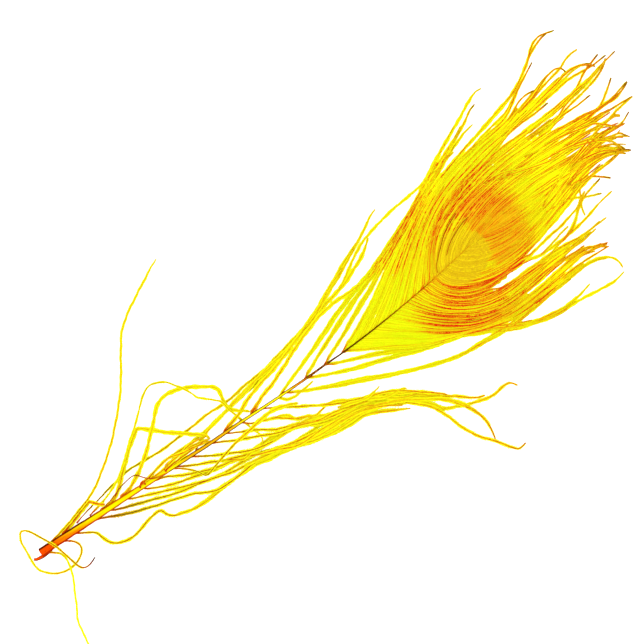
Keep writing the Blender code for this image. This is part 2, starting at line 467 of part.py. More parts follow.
def without_pockets(joined):
    """The joined body with its modifiers applied, and without the tiny closed pockets between strips."""
    bpy.context.view_layer.update()
    graph = bpy.context.evaluated_depsgraph_get()
    mesh = bpy.data.meshes.new_from_object(joined.evaluated_get(graph))
    body = bmesh.new()
    body.from_mesh(mesh)
    unseen = set(body.verts)
    shells = []
    while unseen:
        shell = set()
        waiting = [unseen.pop()]
        while waiting:
            corner = waiting.pop()
            shell.add(corner)
            linked = {edge.other_vert(corner) for edge in corner.link_edges}
            waiting.extend(linked & unseen)
            unseen -= linked
        shells.append(shell)
    largest = max(shells, key=len)
    for shell in shells:
        if shell is not largest and len(shell) <= LARGEST_POCKET_CORNERS:
            bmesh.ops.delete(body, geom=list(shell), context="VERTS")
    body.to_mesh(mesh)
    body.free()
    joined.modifiers.clear()
    joined.data = mesh
    return joined


def add_strip(name, rows, section, collection):
    """One closed strip along its rows."""
    curve = bpy.data.curves.new(name, "CURVE")
    curve.dimensions = "3D"
    curve.twist_mode = "Z_UP"
    curve.bevel_mode = "OBJECT"
    curve.bevel_object = section
    curve.use_fill_caps = True
    spline = curve.splines.new("POLY")
    spline.points.add(len(rows) - 1)
    for point, (along, across, height, half_width) in zip(spline.points, rows):
        point.co = ((along + QUILL_END_X) * MM, (across + QUILL_END_Y) * MM, height * MM, 1)
        point.radius = half_width * 2
    strip_object = bpy.data.objects.new(name, curve)
    collection.objects.link(strip_object)
    strip = as_mesh(strip_object)
    strip.hide_render = True
    strip.display_type = "WIRE"


for old in list(bpy.data.objects):
    bpy.data.objects.remove(old)

parts = bpy.data.collections.new("peacock_eye_feather")
cutters = bpy.data.collections.new("cutters")
strips = bpy.data.collections.new("strips")
for group in (parts, cutters, strips):
    bpy.context.scene.collection.children.link(group)
cutters.hide_render = True
strips.hide_render = True

vane_section = profile("vane_section", VANE_SECTION_HEIGHT, cutters)
loose_section = profile("loose_section", LOOSE_SECTION_HEIGHT, cutters)

# Shaft: a round rod, thick at the cut end and drawn out to a hair in the eye.
shaft_curve = bpy.data.curves.new("feather", "CURVE")
shaft_curve.dimensions = "3D"
shaft_curve.bevel_depth = MM
shaft_curve.bevel_resolution = SHAFT_SIDES_RESOLUTION
shaft_curve.use_fill_caps = True
shaft_spline = shaft_curve.splines.new("POLY")
shaft_spline.points.add(len(SHAFT) - 1)
for point, place in zip(shaft_spline.points, SHAFT):
    height = place[2]
    along, across = true_place(place, height)
    point.co = ((along + QUILL_END_X) * MM, (across + QUILL_END_Y) * MM, height * MM, 1)
    point.radius = place[3] / 2
shaft_object = bpy.data.objects.new("feather", shaft_curve)
parts.objects.link(shaft_object)
feather = as_mesh(shaft_object)

# Barbs: every strip lies at its own depth, so that no two faces share a plane.
strip_count = 0
for side, routes, edge_strips, across_the_shaft in (
    ("upper_vane", UPPER_VANE, UPPER_EDGE_STRIPS, LOWER_VANE[-1]),
    ("lower_vane", LOWER_VANE, LOWER_EDGE_STRIPS, UPPER_VANE[-1]),
):
    for number, route in enumerate(routes):
        name = f"{side}_{number}"
        if number < edge_strips:
            widths = tapered(route, VANE_EDGE_WIDTH)
        else:
            taper_from = EARLY_TAPERS.get(name, VANE_TAPER_FROM)
            widths = vane_widths(routes + [across_the_shaft], number, taper_from)
        heights = heights_of(route, rest_depth(strip_count), VANE_DROOP)
        add_strip(name, thinned(strip_rows(route, widths, heights)), vane_section, strips)
        strip_count += 1

for name, routes, width, layer, droop in (
    ("tip", TIPS, TIP_STRIP_WIDTH, 0.0, None),
    ("upper_loose", UPPER_LOOSE, LOOSE_STRIP_WIDTH, 0.0, LOOSE_DROOP),
    ("upper_bundle", UPPER_BUNDLE, BUNDLE_STRIP_WIDTH, BUNDLE_LAYER, LOOSE_DROOP),
    ("hugging", HUGGING, HUGGING_STRIP_WIDTH, 0.0, LOOSE_DROOP),
    ("lower_loose", LOWER_LOOSE, LOOSE_STRIP_WIDTH, 0.0, LOOSE_DROOP),
    ("lower_bundle", LOWER_BUNDLE, BUNDLE_STRIP_WIDTH, BUNDLE_LAYER, LOOSE_DROOP),
    ("stray", STRAYS, STRAY_WIDTH, 0.0, LOOSE_DROOP),
    ("torn_sliver", [TORN_SLIVER], SLIVER_WIDTH, 0.0, LOOSE_DROOP),
):
    for number, route in enumerate(routes):
        rest = layer * (number % BUNDLE_LAYERS) + rest_depth(strip_count)
        rows = strip_rows(route, tapered(route, width), heights_of(route, rest, droop))
        add_strip(f"{name}_{number}", thinned(rows), loose_section, strips)
        strip_count += 1

# Everything grows together into one body.
union = feather.modifiers.new("grown_together", "BOOLEAN")
union.operation = "UNION"
union.solver = "MANIFOLD"
union.operand_type = "COLLECTION"
union.collection = strips
feather = without_pockets(feather)

# The underside is flat where the feather lies on the surface.
bpy.ops.mesh.primitive_cube_add(size=1, location=(0, 0, -TABLE_CUT_DEPTH / 2 * MM))
table_cut = bpy.context.object
table_cut.name = "table_cut"
table_cut.scale = (TABLE_CUT_SIZE * MM, TABLE_CUT_SIZE * MM, TABLE_CUT_DEPTH * MM)
for holder in list(table_cut.users_collection):
    holder.objects.unlink(table_cut)
cutters.objects.link(table_cut)
table_cut.hide_render = True
table_cut.display_type = "WIRE"
flat_underside = feather.modifiers.new("flat_underside", "BOOLEAN")
flat_underside.operation = "DIFFERENCE"
flat_underside.solver = "MANIFOLD"
flat_underside.object = table_cut

feather_material = bpy.data.materials.new("dyed_feather")
feather_material.use_nodes = True
shader = feather_material.node_tree.nodes["Principled BSDF"]
shader.inputs["Base Color"].default_value = (*FEATHER_COLOUR, 1)
shader.inputs["Roughness"].default_value = FEATHER_ROUGHNESS
shader.inputs["Metallic"].default_value = 0.0
feather.data.materials.clear()
feather.data.materials.append(feather_material)
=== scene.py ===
"""A dyed peacock eye feather lying on a pale surface, grown barb by barb from its shaft."""

import math

import bpy
import numpy as np
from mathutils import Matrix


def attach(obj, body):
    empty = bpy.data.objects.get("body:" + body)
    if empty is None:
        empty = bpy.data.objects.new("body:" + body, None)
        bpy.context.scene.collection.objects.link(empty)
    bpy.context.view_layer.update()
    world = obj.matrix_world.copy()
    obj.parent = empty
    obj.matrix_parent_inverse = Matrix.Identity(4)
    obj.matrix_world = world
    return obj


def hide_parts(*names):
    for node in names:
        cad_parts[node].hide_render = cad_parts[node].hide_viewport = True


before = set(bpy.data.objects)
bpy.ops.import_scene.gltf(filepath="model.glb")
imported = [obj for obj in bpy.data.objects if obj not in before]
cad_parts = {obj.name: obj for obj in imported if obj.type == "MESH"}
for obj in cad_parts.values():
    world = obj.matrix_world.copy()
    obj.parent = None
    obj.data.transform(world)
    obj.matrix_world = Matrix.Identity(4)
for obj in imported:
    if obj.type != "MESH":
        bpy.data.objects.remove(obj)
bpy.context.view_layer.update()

# Shaft. A horny rod, hollow and orange at the cut quill, drawn out to a dark hair inside the eye. It
# grew in one with the barbs, and a torn sliver hangs at its cut end. Here it is a closed tube.

MM = 0.001
QUILL_END_X = -123.38
QUILL_END_Y = 5.36
# Millimetres along, across and up from the quill end, and the thickness.
SHAFT = [
    (-0.4, 0.25, 1.55, 3.2),
    (5, 0.05, 1.5, 2.95),
    (10, -0.25, 1.5, 2.8),
    (20, -0.9, 1.7, 2.55),
    (30, -1.5, 2.1, 2.2),
    (40, -2.1, 2.6, 2),
    (50, -2.8, 3, 1.65),
    (60, -3.5, 3.3, 1.45),
    (66, -3.9, 3.4, 1.4),
    (74, -4.15, 3.55, 1.3),
    (80, -4.4, 3.6, 1.2),
    (90, -4.97, 3.55, 1.1),
    (100, -5.4, 3.4, 1),
    (106, -5.6, 3.3, 0.9),
    (114, -5.7, 3.1, 0.75),
    (120, -5.93, 2.9, 0.6),
    (130, -5.9, 2.6, 0.48),
    (140, -5.55, 2.3, 0.4),
    (150, -4.95, 2, 0.3),
    (160, -4.15, 1.8, 0.24),
    (170, -3, 1.65, 0.22),
    (176, -2.35, 1.55, 0.2),
]
SLIVER = [(3, -0.9, 0.7), (0, -1.1, 0.6), (-1.8, -0.9, 0.5), (-3, -0.6, 0.5), (-3.6, -0.1, 0.5)]
SHAFT_STEP = 0.5
SHAFT_SIDES = 20
SHAFT_SLIMNESS = 0.97
SLIVER_STEP = 0.3
SLIVER_SIDES = 10
SLIVER_FLATNESS = 0.55
SLIVER_HALF_WIDTHS = (0.65, 0.6, 0.45)
# The routes are as the photo's camera sees them. It stood this high over this place.
PICTURE_PIXELS = 644
PIXELS_IN_A_MM = 3
LENS_TO_SENSOR = 100 / 36
BARBS_MIDDLE_HEIGHT = 1
CAMERA_FOOT = np.array([120.3, 6.8])
CAMERA_HEIGHT = PICTURE_PIXELS / PIXELS_IN_A_MM * LENS_TO_SENSOR + BARBS_MIDDLE_HEIGHT
# A white thing shows this bright in the scene's light, so every base colour is darker by as much.
LIGHT = 1.4


def base_colour(red, green, blue):
    """Base colour that looks like this screen colour, 0 to 255, in the scene's light."""
    shares = [value / 255 for value in (red, green, blue)]
    linear = [s / 12.92 if s <= 0.04045 else ((s + 0.055) / 1.055) ** 2.4 for s in shares]
    return (*[value / LIGHT for value in linear], 1.0)


def maths(operation, swapped=False):
    """An operator of Flow that adds a Math node."""

    def operator(self, other):
        first, second = (other, self) if swapped else (self, other)
        return self.node("ShaderNodeMath", {"operation": operation}, {0: first, 1: second})

    return operator


class Flow:
    """A socket of a material's nodes that takes part in sums."""

    def __init__(self, tree, socket=None):
        self.tree = tree
        self.socket = socket

    def node(self, kind, settings=None, values=None, output=0):
        """Any node: settings first, then numbers or links for its sockets."""
        made = self.tree.nodes.new(kind)
        for name, value in (settings or {}).items():
            setattr(made, name, value)
        for name, value in (values or {}).items():
            if isinstance(value, Flow):
                self.tree.links.new(value.socket, made.inputs[name])
            else:
                made.inputs[name].default_value = value
        return Flow(self.tree, made.outputs[output])

    __add__ = __radd__ = maths("ADD")
    __sub__ = maths("SUBTRACT")
    __rsub__ = maths("SUBTRACT", swapped=True)
    __mul__ = __rmul__ = maths("MULTIPLY")
    __truediv__ = maths("DIVIDE")
    __pow__ = maths("POWER")

    def ramp(self, low, high):
        """Runs softly from 0 at low to 1 at high."""
        values = {"Value": self, "From Min": low, "From Max": high}
        return self.node("ShaderNodeMapRange", {"interpolation_type": "SMOOTHSTEP"}, values)

    def blend(self, off, on):
        """Colour off where this is 0 and colour on where it is 1: a Flow, or a screen colour."""
        off, on = [shade if isinstance(shade, Flow) else base_colour(*shade) for shade in (off, on)]
        return self.node("ShaderNodeMix", {"data_type": "RGBA"}, {0: self, 6: off, 7: on}, 2)

    def bands(self, shade, *steps):
        """The shade, turned into the next one from each low to its high."""
        return coats(shade, *[(self.ramp(low, high), following) for low, high, following in steps])


def coats(shade, *layers):
    """The shade with others laid over it, each where its mask is 1."""
    for mask, layer in layers:
        shade = mask.blend(shade, layer)
    return shade


def new_material(name, roughness, shine):
    """A material, its shader, and a first Flow to build on."""
    material = bpy.data.materials.new(name)
    material.use_nodes = True
    shader = material.node_tree.nodes["Principled BSDF"]
    shader.inputs["Roughness"].default_value = roughness
    shader.inputs["Specular IOR Level"].default_value = shine
    return material, shader, Flow(material.node_tree)


def finish(shader, body, roughness, relief, strength, depth):
    """Gives a shader its colour, its roughness and a fine relief."""
    bump = body.node("ShaderNodeBump", values={"Strength": strength, "Distance": depth, "Height": relief})
    for socket, flow in (("Base Color", body), ("Roughness", roughness), ("Normal", bump)):
        body.tree.links.new(flow.socket, shader.inputs[socket])


def attribute(start, name):
    return start.node("ShaderNodeAttribute", {"attribute_name": name}, output="Fac")


def place_in_feather(start):
    """Millimetres along and across the feather from its quill end."""
    position = start.node("ShaderNodeTexCoord", output="Object")
    parts = start.node("ShaderNodeSeparateXYZ", values={0: position}).socket.node.outputs
    along = Flow(start.tree, parts["X"]) / MM - QUILL_END_X
    across = Flow(start.tree, parts["Y"]) / MM - QUILL_END_Y
    return along, across


def noise(first, second=0.0, third=0.0, detail=2.0):
    """Smooth noise, 0 to 1, over up to three numbers."""
    vector = first.node("ShaderNodeCombineXYZ", values={0: first, 1: second, 2: third})
    return first.node("ShaderNodeTexNoise", values={"Vector": vector, "Scale": 1.0, "Detail": detail})


def new_piece(name, points, triangles, uv, values, material):
    """One joined mesh in the feather's frame, in place of the solid."""
    mesh = bpy.data.meshes.new(name)
    points = (points + (QUILL_END_X, QUILL_END_Y, 0)) * MM
    mesh.from_pydata(points, [], triangles, shade_flat=False)
    skin_map = mesh.uv_layers.new(name="OFBake")
    skin_map.data.foreach_set("uv", uv[triangles.ravel()].astype(np.float32).ravel())
    for key, numbers in values.items():
        mesh.attributes.new(key, "FLOAT", "POINT").data.foreach_set("value", numbers.astype(np.float32))
    mesh.materials.append(material)
    piece = bpy.data.objects.new(name, mesh)
    bpy.context.scene.collection.objects.link(piece)
    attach(piece, "root")
    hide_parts("feather")


def true_places(route):
    """The camera draws high places outward from its foot. These are the places as they really are."""
    places = np.array(route, dtype=float)
    nearer = 1 - places[:, 2:3] / CAMERA_HEIGHT
    places[:, :2] = CAMERA_FOOT + (places[:, :2] - CAMERA_FOOT) * nearer
    return places


def sampled(stops, run, rows):
    """The rows that belong to a run of lengths, at other stops along it."""
    return np.column_stack([np.interp(stops, run, column) for column in rows.T])


def smooth_curve(route, step):
    """Even steps along a smooth curve through given points, and the length up to each."""
    knots = np.array(route, dtype=float)
    ends = np.vstack([2 * knots[0] - knots[1], knots, 2 * knots[-1] - knots[-2]])
    share = np.linspace(0, 1, 9)[:-1, None]
    rows = []
    for number in range(len(knots) - 1):
        a, b, c, d = ends[number : number + 4]
        straight = 2 * b + (c - a) * share
        bend = (2 * a - 5 * b + 4 * c - d) * share**2
        turn = (3 * b - a - 3 * c + d) * share**3
        rows.append(0.5 * (straight + bend + turn))
    dense = np.vstack(rows + [knots[-1:]])
    length = np.concatenate([[0], np.cumsum(np.linalg.norm(np.diff(dense[:, :3], axis=0), axis=1))])
    stops = np.linspace(0, length[-1], max(4, int(round(length[-1] / step)) + 1))
    return sampled(stops, length, dense), stops


def unit(vectors):
    return vectors / np.maximum(np.linalg.norm(vectors, axis=1, keepdims=True), 1e-9)


def directions(points):
    """Unit vectors ahead and to the left at every point of a curve."""
    ahead = unit(np.gradient(points[:, :3], axis=0))
    left = unit(np.column_stack([-ahead[:, 1], ahead[:, 0], np.zeros(len(ahead))]))
    return ahead, left


def ring_numbers(rows, sides):
    """Numbers of the points of all rings but the last, and of the points beside them."""
    rings = np.arange(rows - 1)[:, None] * sides
    return (rings + np.arange(sides)).ravel(), (rings + (np.arange(sides) + 1) % sides).ravel()


def halves(a, b, c, d):
    """Two triangles for every face with these four corners."""
    return np.vstack([np.column_stack([a, b, c]), np.column_stack([a, c, d])])


def tube(curve, half_width, half_height, sides):
    """Closed tube round a curve: points, triangles, share along it, and how far up and left each lies."""
    ahead, left = directions(curve)
    up = np.cross(ahead, left)
    turn = np.arange(sides) / sides * 2 * math.pi
    rings = curve[:, None, :3] + left[:, None] * np.cos(turn)[:, None] * half_width[:, None, None]
    rings = rings + up[:, None] * np.sin(turn)[:, None] * half_height[:, None, None]
    points = np.vstack([rings.reshape(-1, 3), curve[0, :3], curve[-1, :3]])
    rows = len(curve)
    first, beside = ring_numbers(rows, sides)
    middle = np.full(sides, rows * sides)
    start_cap = np.column_stack([beside[:sides], first[:sides], middle])
    end_cap = np.column_stack([first[-sides:] + sides, beside[-sides:] + sides, middle + 1])
    triangles = np.vstack([halves(first, beside, beside + sides, first + sides), start_cap, end_cap])
    share = np.append(np.repeat(np.linspace(0, 1, rows), sides), [0, 1])
    lift, leftward = [np.append(np.tile(part, rows), [0, 0]) for part in (np.sin(turn), np.cos(turn))]
    return points, triangles, share, lift, leftward


shaft_curve, shaft_run = smooth_curve(true_places(SHAFT), SHAFT_STEP)
shaft_curve[:, 2] += np.interp(shaft_run, [100, 120, 150], [0, 0.3, 0.2])
swelling = 1 + 0.02 * np.sin(shaft_run * 0.9) + 0.015 * np.sin(shaft_run * 2.3 + 1)
shaft_half = shaft_curve[:, 3] / 2 * swelling
flattened = np.minimum(shaft_half, shaft_curve[:, 2])
rod = tube(shaft_curve, shaft_half * SHAFT_SLIMNESS, flattened, SHAFT_SIDES)
sliver_curve, sliver_run = smooth_curve(true_places(SLIVER), SLIVER_STEP)
sliver_half = np.interp(sliver_run / sliver_run[-1], [0, 0.7, 1], SLIVER_HALF_WIDTHS)
sliver = tube(sliver_curve, sliver_half, sliver_half * SLIVER_FLATNESS, SLIVER_SIDES)

material, shader, start = new_material("shaft", 0.42, 0.0)
along, across = place_in_feather(start)
lift = attribute(start, "lift")
leftward = attribute(start, "leftward")
grain = noise(along * 0.16, across * 3.2, detail=4.0)
flecks = noise(along * 0.9, across * 2.0, detail=3.0)
flecked = flecks.ramp(0.42, 0.58).blend((196, 104, 2), (92, 46, 0))
top = along.ramp(3, 10).blend((242, 78, 0), (255, 134, 0))
top = (along + leftward * 9).ramp(9, 24).blend(top, (250, 236, 0))
top = along.bands(top, (52, 60, (236, 176, 10)), (74, 84, (255, 240, 10)), (96, 103, (232, 136, 4)))
inside_eye = (154, 164, (226, 150, 8))
top = along.bands(top, (103, 107, flecked), (112, 118, (92, 50, 0)), (130, 150, (170, 84, 0)), inside_eye)
# Painted shade: where the tube turns down from its top to its sides it is painted darker, and darker still on
# its left side than on its right.
edge = leftward.ramp(-0.5, 0.5).blend((186, 40, 0), (92, 20, 0))
edge = along.bands(edge, (14, 30, (206, 100, 0)), (44, 56, (104, 52, 0)), (98, 106, (96, 46, 0)))
edge = along.bands(edge, (130, 150, (160, 76, 0)), inside_eye)
body = coats(
    top,
    # The painted shade of the tube's sides, by how high each point lies on it.
    ((lift - along * 0.0006).ramp(0.88, 0.72), edge),
    (grain.ramp(0.5, 0.72) * along.ramp(60, 6) * 0.5, (206, 50, 0)),
    (flecks.ramp(0.58, 0.7) * along.ramp(16, 8) * 0.6, (132, 34, 0)),
)
finish(shader, body, 0.34 + grain * 0.25, grain, 0.25, 0.0002)

points, share, lift, leftward = [np.concatenate([rod[part], sliver[part]]) for part in (0, 2, 3, 4)]
triangles = np.vstack([rod[1], sliver[1] + len(rod[0])])
map_row = np.repeat([0.6, 0.2], [len(rod[0]), len(sliver[0])])
uv = np.column_stack([0.02 + share * 0.96, map_row + lift * 0.15])
new_piece("shaft", points, triangles, uv, {"lift": lift, "leftward": leftward}, material)

# Two vanes. Each barb is a horny thread with a fringe of barbules on both sides, grown from the
# shaft's edge. Here it is a keel, a narrow web and two rows of small blades, joined in one mesh a vane.

chance = np.random.default_rng(20)
# Guides read from the photo, from the root to the tip of a barb, above the shaft.
UPPER_VANE = [
    [(95, -4.7), (100, -3.2), (104, -2), (108, -0.7), (112, 0.6), (116, 2), (120, 3.3), (124, 4.8),
     (128, 6.1), (132, 7.2), (136, 8.3), (144, 10.2), (152, 13), (160, 16.1), (168, 19.4), (175, 22.8),
     (182, 26.3), (190, 30), (198, 33.5), (204, 36.3), (207.5, 37.6), (210, 37.4)],
    [(105.5, -5.1), (109, -3.7), (113, -2), (117, -0.6), (121, 1), (125, 2.6), (129, 4.2), (133, 5.7),
     (137, 7), (141, 8.2), (145, 9.4), (153, 12.2), (161, 15.7), (170, 19.8), (178, 23.5), (186, 26.6),
     (193, 29.3), (199, 32), (202.5, 34), (205, 34.7)],
    [(114, -5.3), (118, -3.6), (122, -2), (126, -0.3), (130, 1.4), (134, 3.2), (138, 4.8), (142, 6.4),
     (146, 8.2), (150, 9.9), (154, 11.6), (162, 15.2), (170, 18.8), (178, 22.4), (185, 25), (191, 27.2),
     (196, 28.9), (200.5, 29.7)],
    [(121, -5.7), (124, -4.4), (128, -2.8), (135, 0.3), (142, 3.7), (150, 8), (158, 12), (166, 16), (174, 20),
     (182, 23.3), (192, 27.8)],
    [(128, -5.9), (134, -2.8), (141, 1), (148, 5.3), (156, 10), (164, 14.6), (172, 18.8), (181, 22),
     (190, 24), (200, 26), (210, 28.3), (217, 30), (223, 32.6), (227, 34.9), (229, 36.4), (232, 38.6),
     (235, 39.9), (237, 39.6), (241, 38.5)],
    [(134, -5.8), (140, -2.5), (147, 2), (154, 6.8), (161, 11.5), (168, 15.6), (176, 19), (185, 21.8),
     (194, 22.9), (203, 23.8), (209, 24.4), (213, 25.9), (217, 28.4), (220.5, 30.4), (224.5, 32.4),
     (228.8, 34.5)],
    [(140, -5.5), (146, -1.5), (152, 3), (158, 7.6), (165, 12.3), (173, 16.5), (182, 19.8), (192, 21.8),
     (202, 23), (210, 23.7), (214, 25), (217.5, 26.6), (221, 27), (224, 26.4)],
    [(146, -5.2), (151, -1), (156, 3.2), (162, 8), (169, 12.6), (177, 16.4), (187, 19.3), (198, 21.2),
     (210, 22.3), (222, 24.8), (229, 27.3), (233, 28), (235.2, 27.3), (235.8, 24.6)],
    [(151, -4.9), (155, -0.8), (160, 4), (166, 9), (173, 13.3), (181, 16.4), (191, 18.6), (203, 20),
     (216, 21.5), (228, 23.6), (237, 24.9), (241.5, 24), (244.3, 22.2)],
    [(155, -4.6), (158.5, -0.5), (163, 4.4), (168.5, 9), (175, 12.6), (184, 15.4), (195, 17.4), (208, 19.9),
     (222, 21.4), (235, 22.7), (243, 21.8), (250, 21.7)],
    [(158.5, -4.3), (161, -0.5), (164.5, 4), (169.5, 8.3), (176, 11.5), (185, 14.2), (197, 16.4), (211, 17.2),
     (225, 17.4), (237, 18.4), (246, 20), (253.4, 21)],
    [(161, -4.1), (162.5, -1), (165.5, 3), (170, 6.8), (176.5, 9.9), (185, 12.2), (196, 13.7), (209, 14.2),
     (222, 14), (231, 13.8), (238, 14.1)],
    [(163.5, -3.9), (164.5, -1.3), (167.5, 1.9), (172, 5), (178.5, 7.9), (187, 10), (197, 10.9), (208, 10.9),
     (220, 10.7), (232, 9.4), (242, 8.7), (250.5, 10.5)],
    [(167, -3.4), (170, -0.6), (174.5, 2.2), (181, 4.8), (190, 6.9), (200, 7.7), (211, 7.4), (222, 6.9),
     (232, 6.7), (241, 6.2), (249, 5.3)],
    [(171, -3), (175, -0.6), (181, 1.6), (189, 3.4), (199, 4.2), (210, 4), (221, 3), (231, 1.9), (238, 0.6),
     (241.5, -0.5)],
    [(176, -2.6), (181, -1.2), (188, 0), (198, 0.6), (209, 0.3), (220, -0.5), (230, -1.1), (237, -1.6),
     (239, -3), (240.3, -5)],
    [(183, -2.2), (190, -2), (200, -2.3), (211, -3), (221, -3.6), (229, -4.6), (235, -6.9), (238, -8.7)],
]
# The same below the shaft.
LOWER_VANE = [
    [(98, -5.9), (105, -9.8), (112, -13.3), (120, -17), (128, -21), (136, -24.7), (144, -27.7), (152, -30.1),
     (160, -31), (170, -32), (180, -31.8), (190, -31.3), (203, -31.2)],
    [(106, -6), (113, -9.3), (120, -12.3), (127, -14.8), (134, -17.5), (140, -20), (146, -22.3), (152, -23.9),
     (155.8, -25), (158.8, -26.6), (161.7, -28.2), (165, -29.8), (168, -31.6), (172, -33.7), (179, -36.2),
     (186, -38.3), (193, -38.9), (201, -39.9), (207, -40.5), (212, -39.8)],
    [(114, -6), (120, -9), (127, -12.2), (134, -15.6), (140, -18.8), (146, -21.5), (152, -23.2), (157, -24.8),
     (161, -26.7), (165, -28.9), (169, -31.3), (175, -34.2), (182, -36.7), (189, -38), (195, -37.7),
     (200.5, -36.6)],
    [(121, -6), (127, -9.5), (134, -13.5), (140, -17.5), (146, -20.8), (152, -23.1), (158, -25.4),
     (163, -27.5), (168, -29.3), (174, -30.6), (184, -31.2), (194, -30.4), (203, -30.6), (208, -31.8),
     (211, -33.6), (212.4, -36), (212.5, -38.8)],
    [(128, -5.9), (133, -9.5), (139, -14), (145, -18.6), (151, -21.9), (158, -25), (166, -28.2), (176, -30.2),
     (188, -30.2), (200, -29.4), (213, -30.2)],
    [(134, -5.8), (138.5, -9.8), (144, -14.5), (150, -19.5), (156, -23.4), (163, -26.5), (172, -28.8),
     (183, -29.2), (195, -28.3), (204, -27.5), (213, -29.3)],
    [(140, -5.5), (144, -9.8), (149, -14.8), (154.5, -19.8), (161, -24.2), (169, -27), (179, -27.8),
     (190, -27.2), (200, -26.2), (207, -26.7), (213.4, -28.9)],
    [(146, -5.2), (149, -9.5), (153, -14.3), (158.5, -19), (165, -23), (173, -25.3), (183, -25.6), (194, -25),
     (206.5, -25.4)],
    [(151, -4.9), (153, -9), (156.5, -13.8), (161.5, -18.2), (168, -21.7), (176, -23.4), (186, -23.3),
     (196, -22.8), (206, -23.3), (213, -22.9)],
    [(155, -4.6), (156, -8), (159, -12.5), (163.5, -16.4), (170, -19.3), (178, -20.5), (188, -20.3),
     (198, -20.8), (208, -22), (218, -22.3)],
    [(158, -4.4), (159.5, -8), (162.5, -12), (167, -15.1), (173, -16.8), (181, -17.5), (188, -17.9),
     (194, -19.3), (203, -19.3), (212, -18.1), (219, -16.5), (224.7, -15.9)],
    [(160.5, -4.2), (161.5, -7.5), (164.5, -11), (169, -14), (175, -16), (183, -16.9), (190, -17),
     (197, -15.9), (205, -14.9), (212, -13.7), (217, -11)],
    [(162.5, -4.1), (163.5, -7), (166.5, -10.2), (171, -12.8), (177, -14.7), (185, -15.6), (193, -14.8),
     (202, -12.9), (211, -10.7), (218, -8.6), (224, -7.8), (235, -7.4)],
    [(165, -3.8), (166.5, -6.3), (170, -9.2), (175.5, -11.6), (183, -13), (191, -12.8), (200, -11),
     (210, -8.6), (219, -6.1), (228, -5.2), (233, -6.4), (236, -8.6)],
    [(169, -3.4), (171.5, -6), (176, -8.5), (182.5, -10.2), (191, -10.4), (201, -9), (211, -6.4), (221, -3.6),
     (228, -3.1), (232, -4.2), (235, -6.2), (238, -8.6)],
    [(174, -3), (177.5, -5.2), (183, -7), (191, -7.8), (201, -7), (212, -4.4), (222, -1.7), (231, -1),
     (237, -2.7), (240, -4.8)],
    [(180, -2.5), (185, -4.2), (192, -5.2), (202, -4.8), (213, -2.6), (223, -0.4), (232, 0.6), (240, 0.2),
     (245, 2)],
]
ROOT_BELOW_SHAFT_CENTRE = 0.35
ROOT_REACH = 0.9
ROOTED_STRETCH = (20, 176)
NEAR_SHAFT = 2
VANE_DROOP = 48.0
GUIDE_STEP = 0.5
GUIDE_STEPS = 150
BARB_STEP = 0.8
BLADE_STEP = 0.24
BLADE_FOOT_HALF = 0.095
BLADE_TIP_HALF = 0.03
BLADE_ANGLE = (36, 6)
BLADE_LENGTHS = (0.6, 1.25)
LEAST_BLADE = 0.04
KEEL_ABOVE_SURFACE = 0.42
LOWEST = 0.03
# How far the left edge, the middle and the right edge lie below a barb's curve: the keel's in half
# widths, the web's in millimetres.
KEEL_SUNK = np.array([0.5, -1.1, 0.5])
WEB_SUNK = np.array([0.1, 0.04, 0.1])
# Guides count from the outermost. The outer ones carry lone barbs with a twin on both sides.
OUTER_GUIDES = 4
TWIN_APART = 0.45
# Shares of a guide's length: where the gap to the next one is measured for the dark lines and for the
# paler fills, and where the fills begin to close up on a tip.
LINED_STRETCH = (0.35, 0.62)
FILLED_STRETCH = (0.05, 0.62)
CLOSING_FROM = 0.72
# Of the fills between the guides up to this one, this share is broken off halfway.
BROKEN_UP_TO = 7
BROKEN_SHARE = 0.3
# Gaps between the dark lines above and below the shaft, and between all barbs.
UPPER_LINES = 0.75
LOWER_LINES = 0.66
FILL_SPACING = 0.6
# The vane stays open beyond these guides, from this share of their length on.
UPPER_OPENINGS = {3: 0.65, 9: 0.62, 11: 0.86}
LOWER_OPENINGS = {3: 0.66, 4: 0.8, 9: 0.44, 10: 0.53, 11: 0.6}
# Two barbs without fringe lie as dark hairs over the heart of the eye.
DARK_HAIRS = [
    [(161.6, -3.4, 1.9), (162.8, -1.1, 1.8), (165.3, 1.1, 1.7), (168.7, 3.9, 1.6), (171.6, 6.1, 1.5),
     (175, 7.7, 1.4), (178.4, 9, 1.3)],
    [(167.6, -0.4, 1.8), (169, 0.8, 1.8), (171.3, 2.4, 1.7), (173.8, 3.6, 1.6), (177.5, 4.9, 1.5),
     (181, 5.6, 1.4)],
]
# Down under the barbs of the eye, which lets no surface show between them.
DOWNY_BEDS = [
    [(158.5, -5, 0.1), (160.5, -8.5, 0.1), (164, -12.5, 0.05), (170, -15.2), (178, -15.8), (190, -14.2)],
    [(164, -5, 0.1), (168, -9, 0.05), (175, -11.6), (185, -12.4), (198, -10.4)],
    [(172, -4.5, 0.1), (178, -7.5, 0.05), (188, -8.6), (202, -6.8)],
    [(178, -3.4, 0.1), (188, -5.2), (204, -4.2)],
    [(160, -2, 0.1), (165, 3.4, 0.05), (173, 8.6), (184, 12.2), (198, 14)],
    [(166, -1.6, 0.1), (173, 3.4, 0.05), (184, 7.8), (198, 9.4)],
    [(174, -0.8, 0.1), (184, 3), (202, 5)],
    [(184, 10.6), (197, 12), (212, 12.2)],
    [(190, 1), (200, 1.4), (212, 1)],
    [(154, -7, 0.1), (158, -14.5, 0.05), (164, -20.4), (172, -23.6), (186, -24.4)],
    [(149, -11, 0.1), (154, -18.5, 0.05), (161, -24.2), (170, -26.6), (182, -27.2)],
]
# Down along both sides of the shaft, this far below its middle, and on past its end.
SHAFT_DOWN_FROM = 130
SHAFT_DOWN_BELOW = 1.3
DOWN_PAST_SHAFT = [(184, -2.2, 0.5), (196, -2.6, 0.3), (210, -2.6, 0.2)]
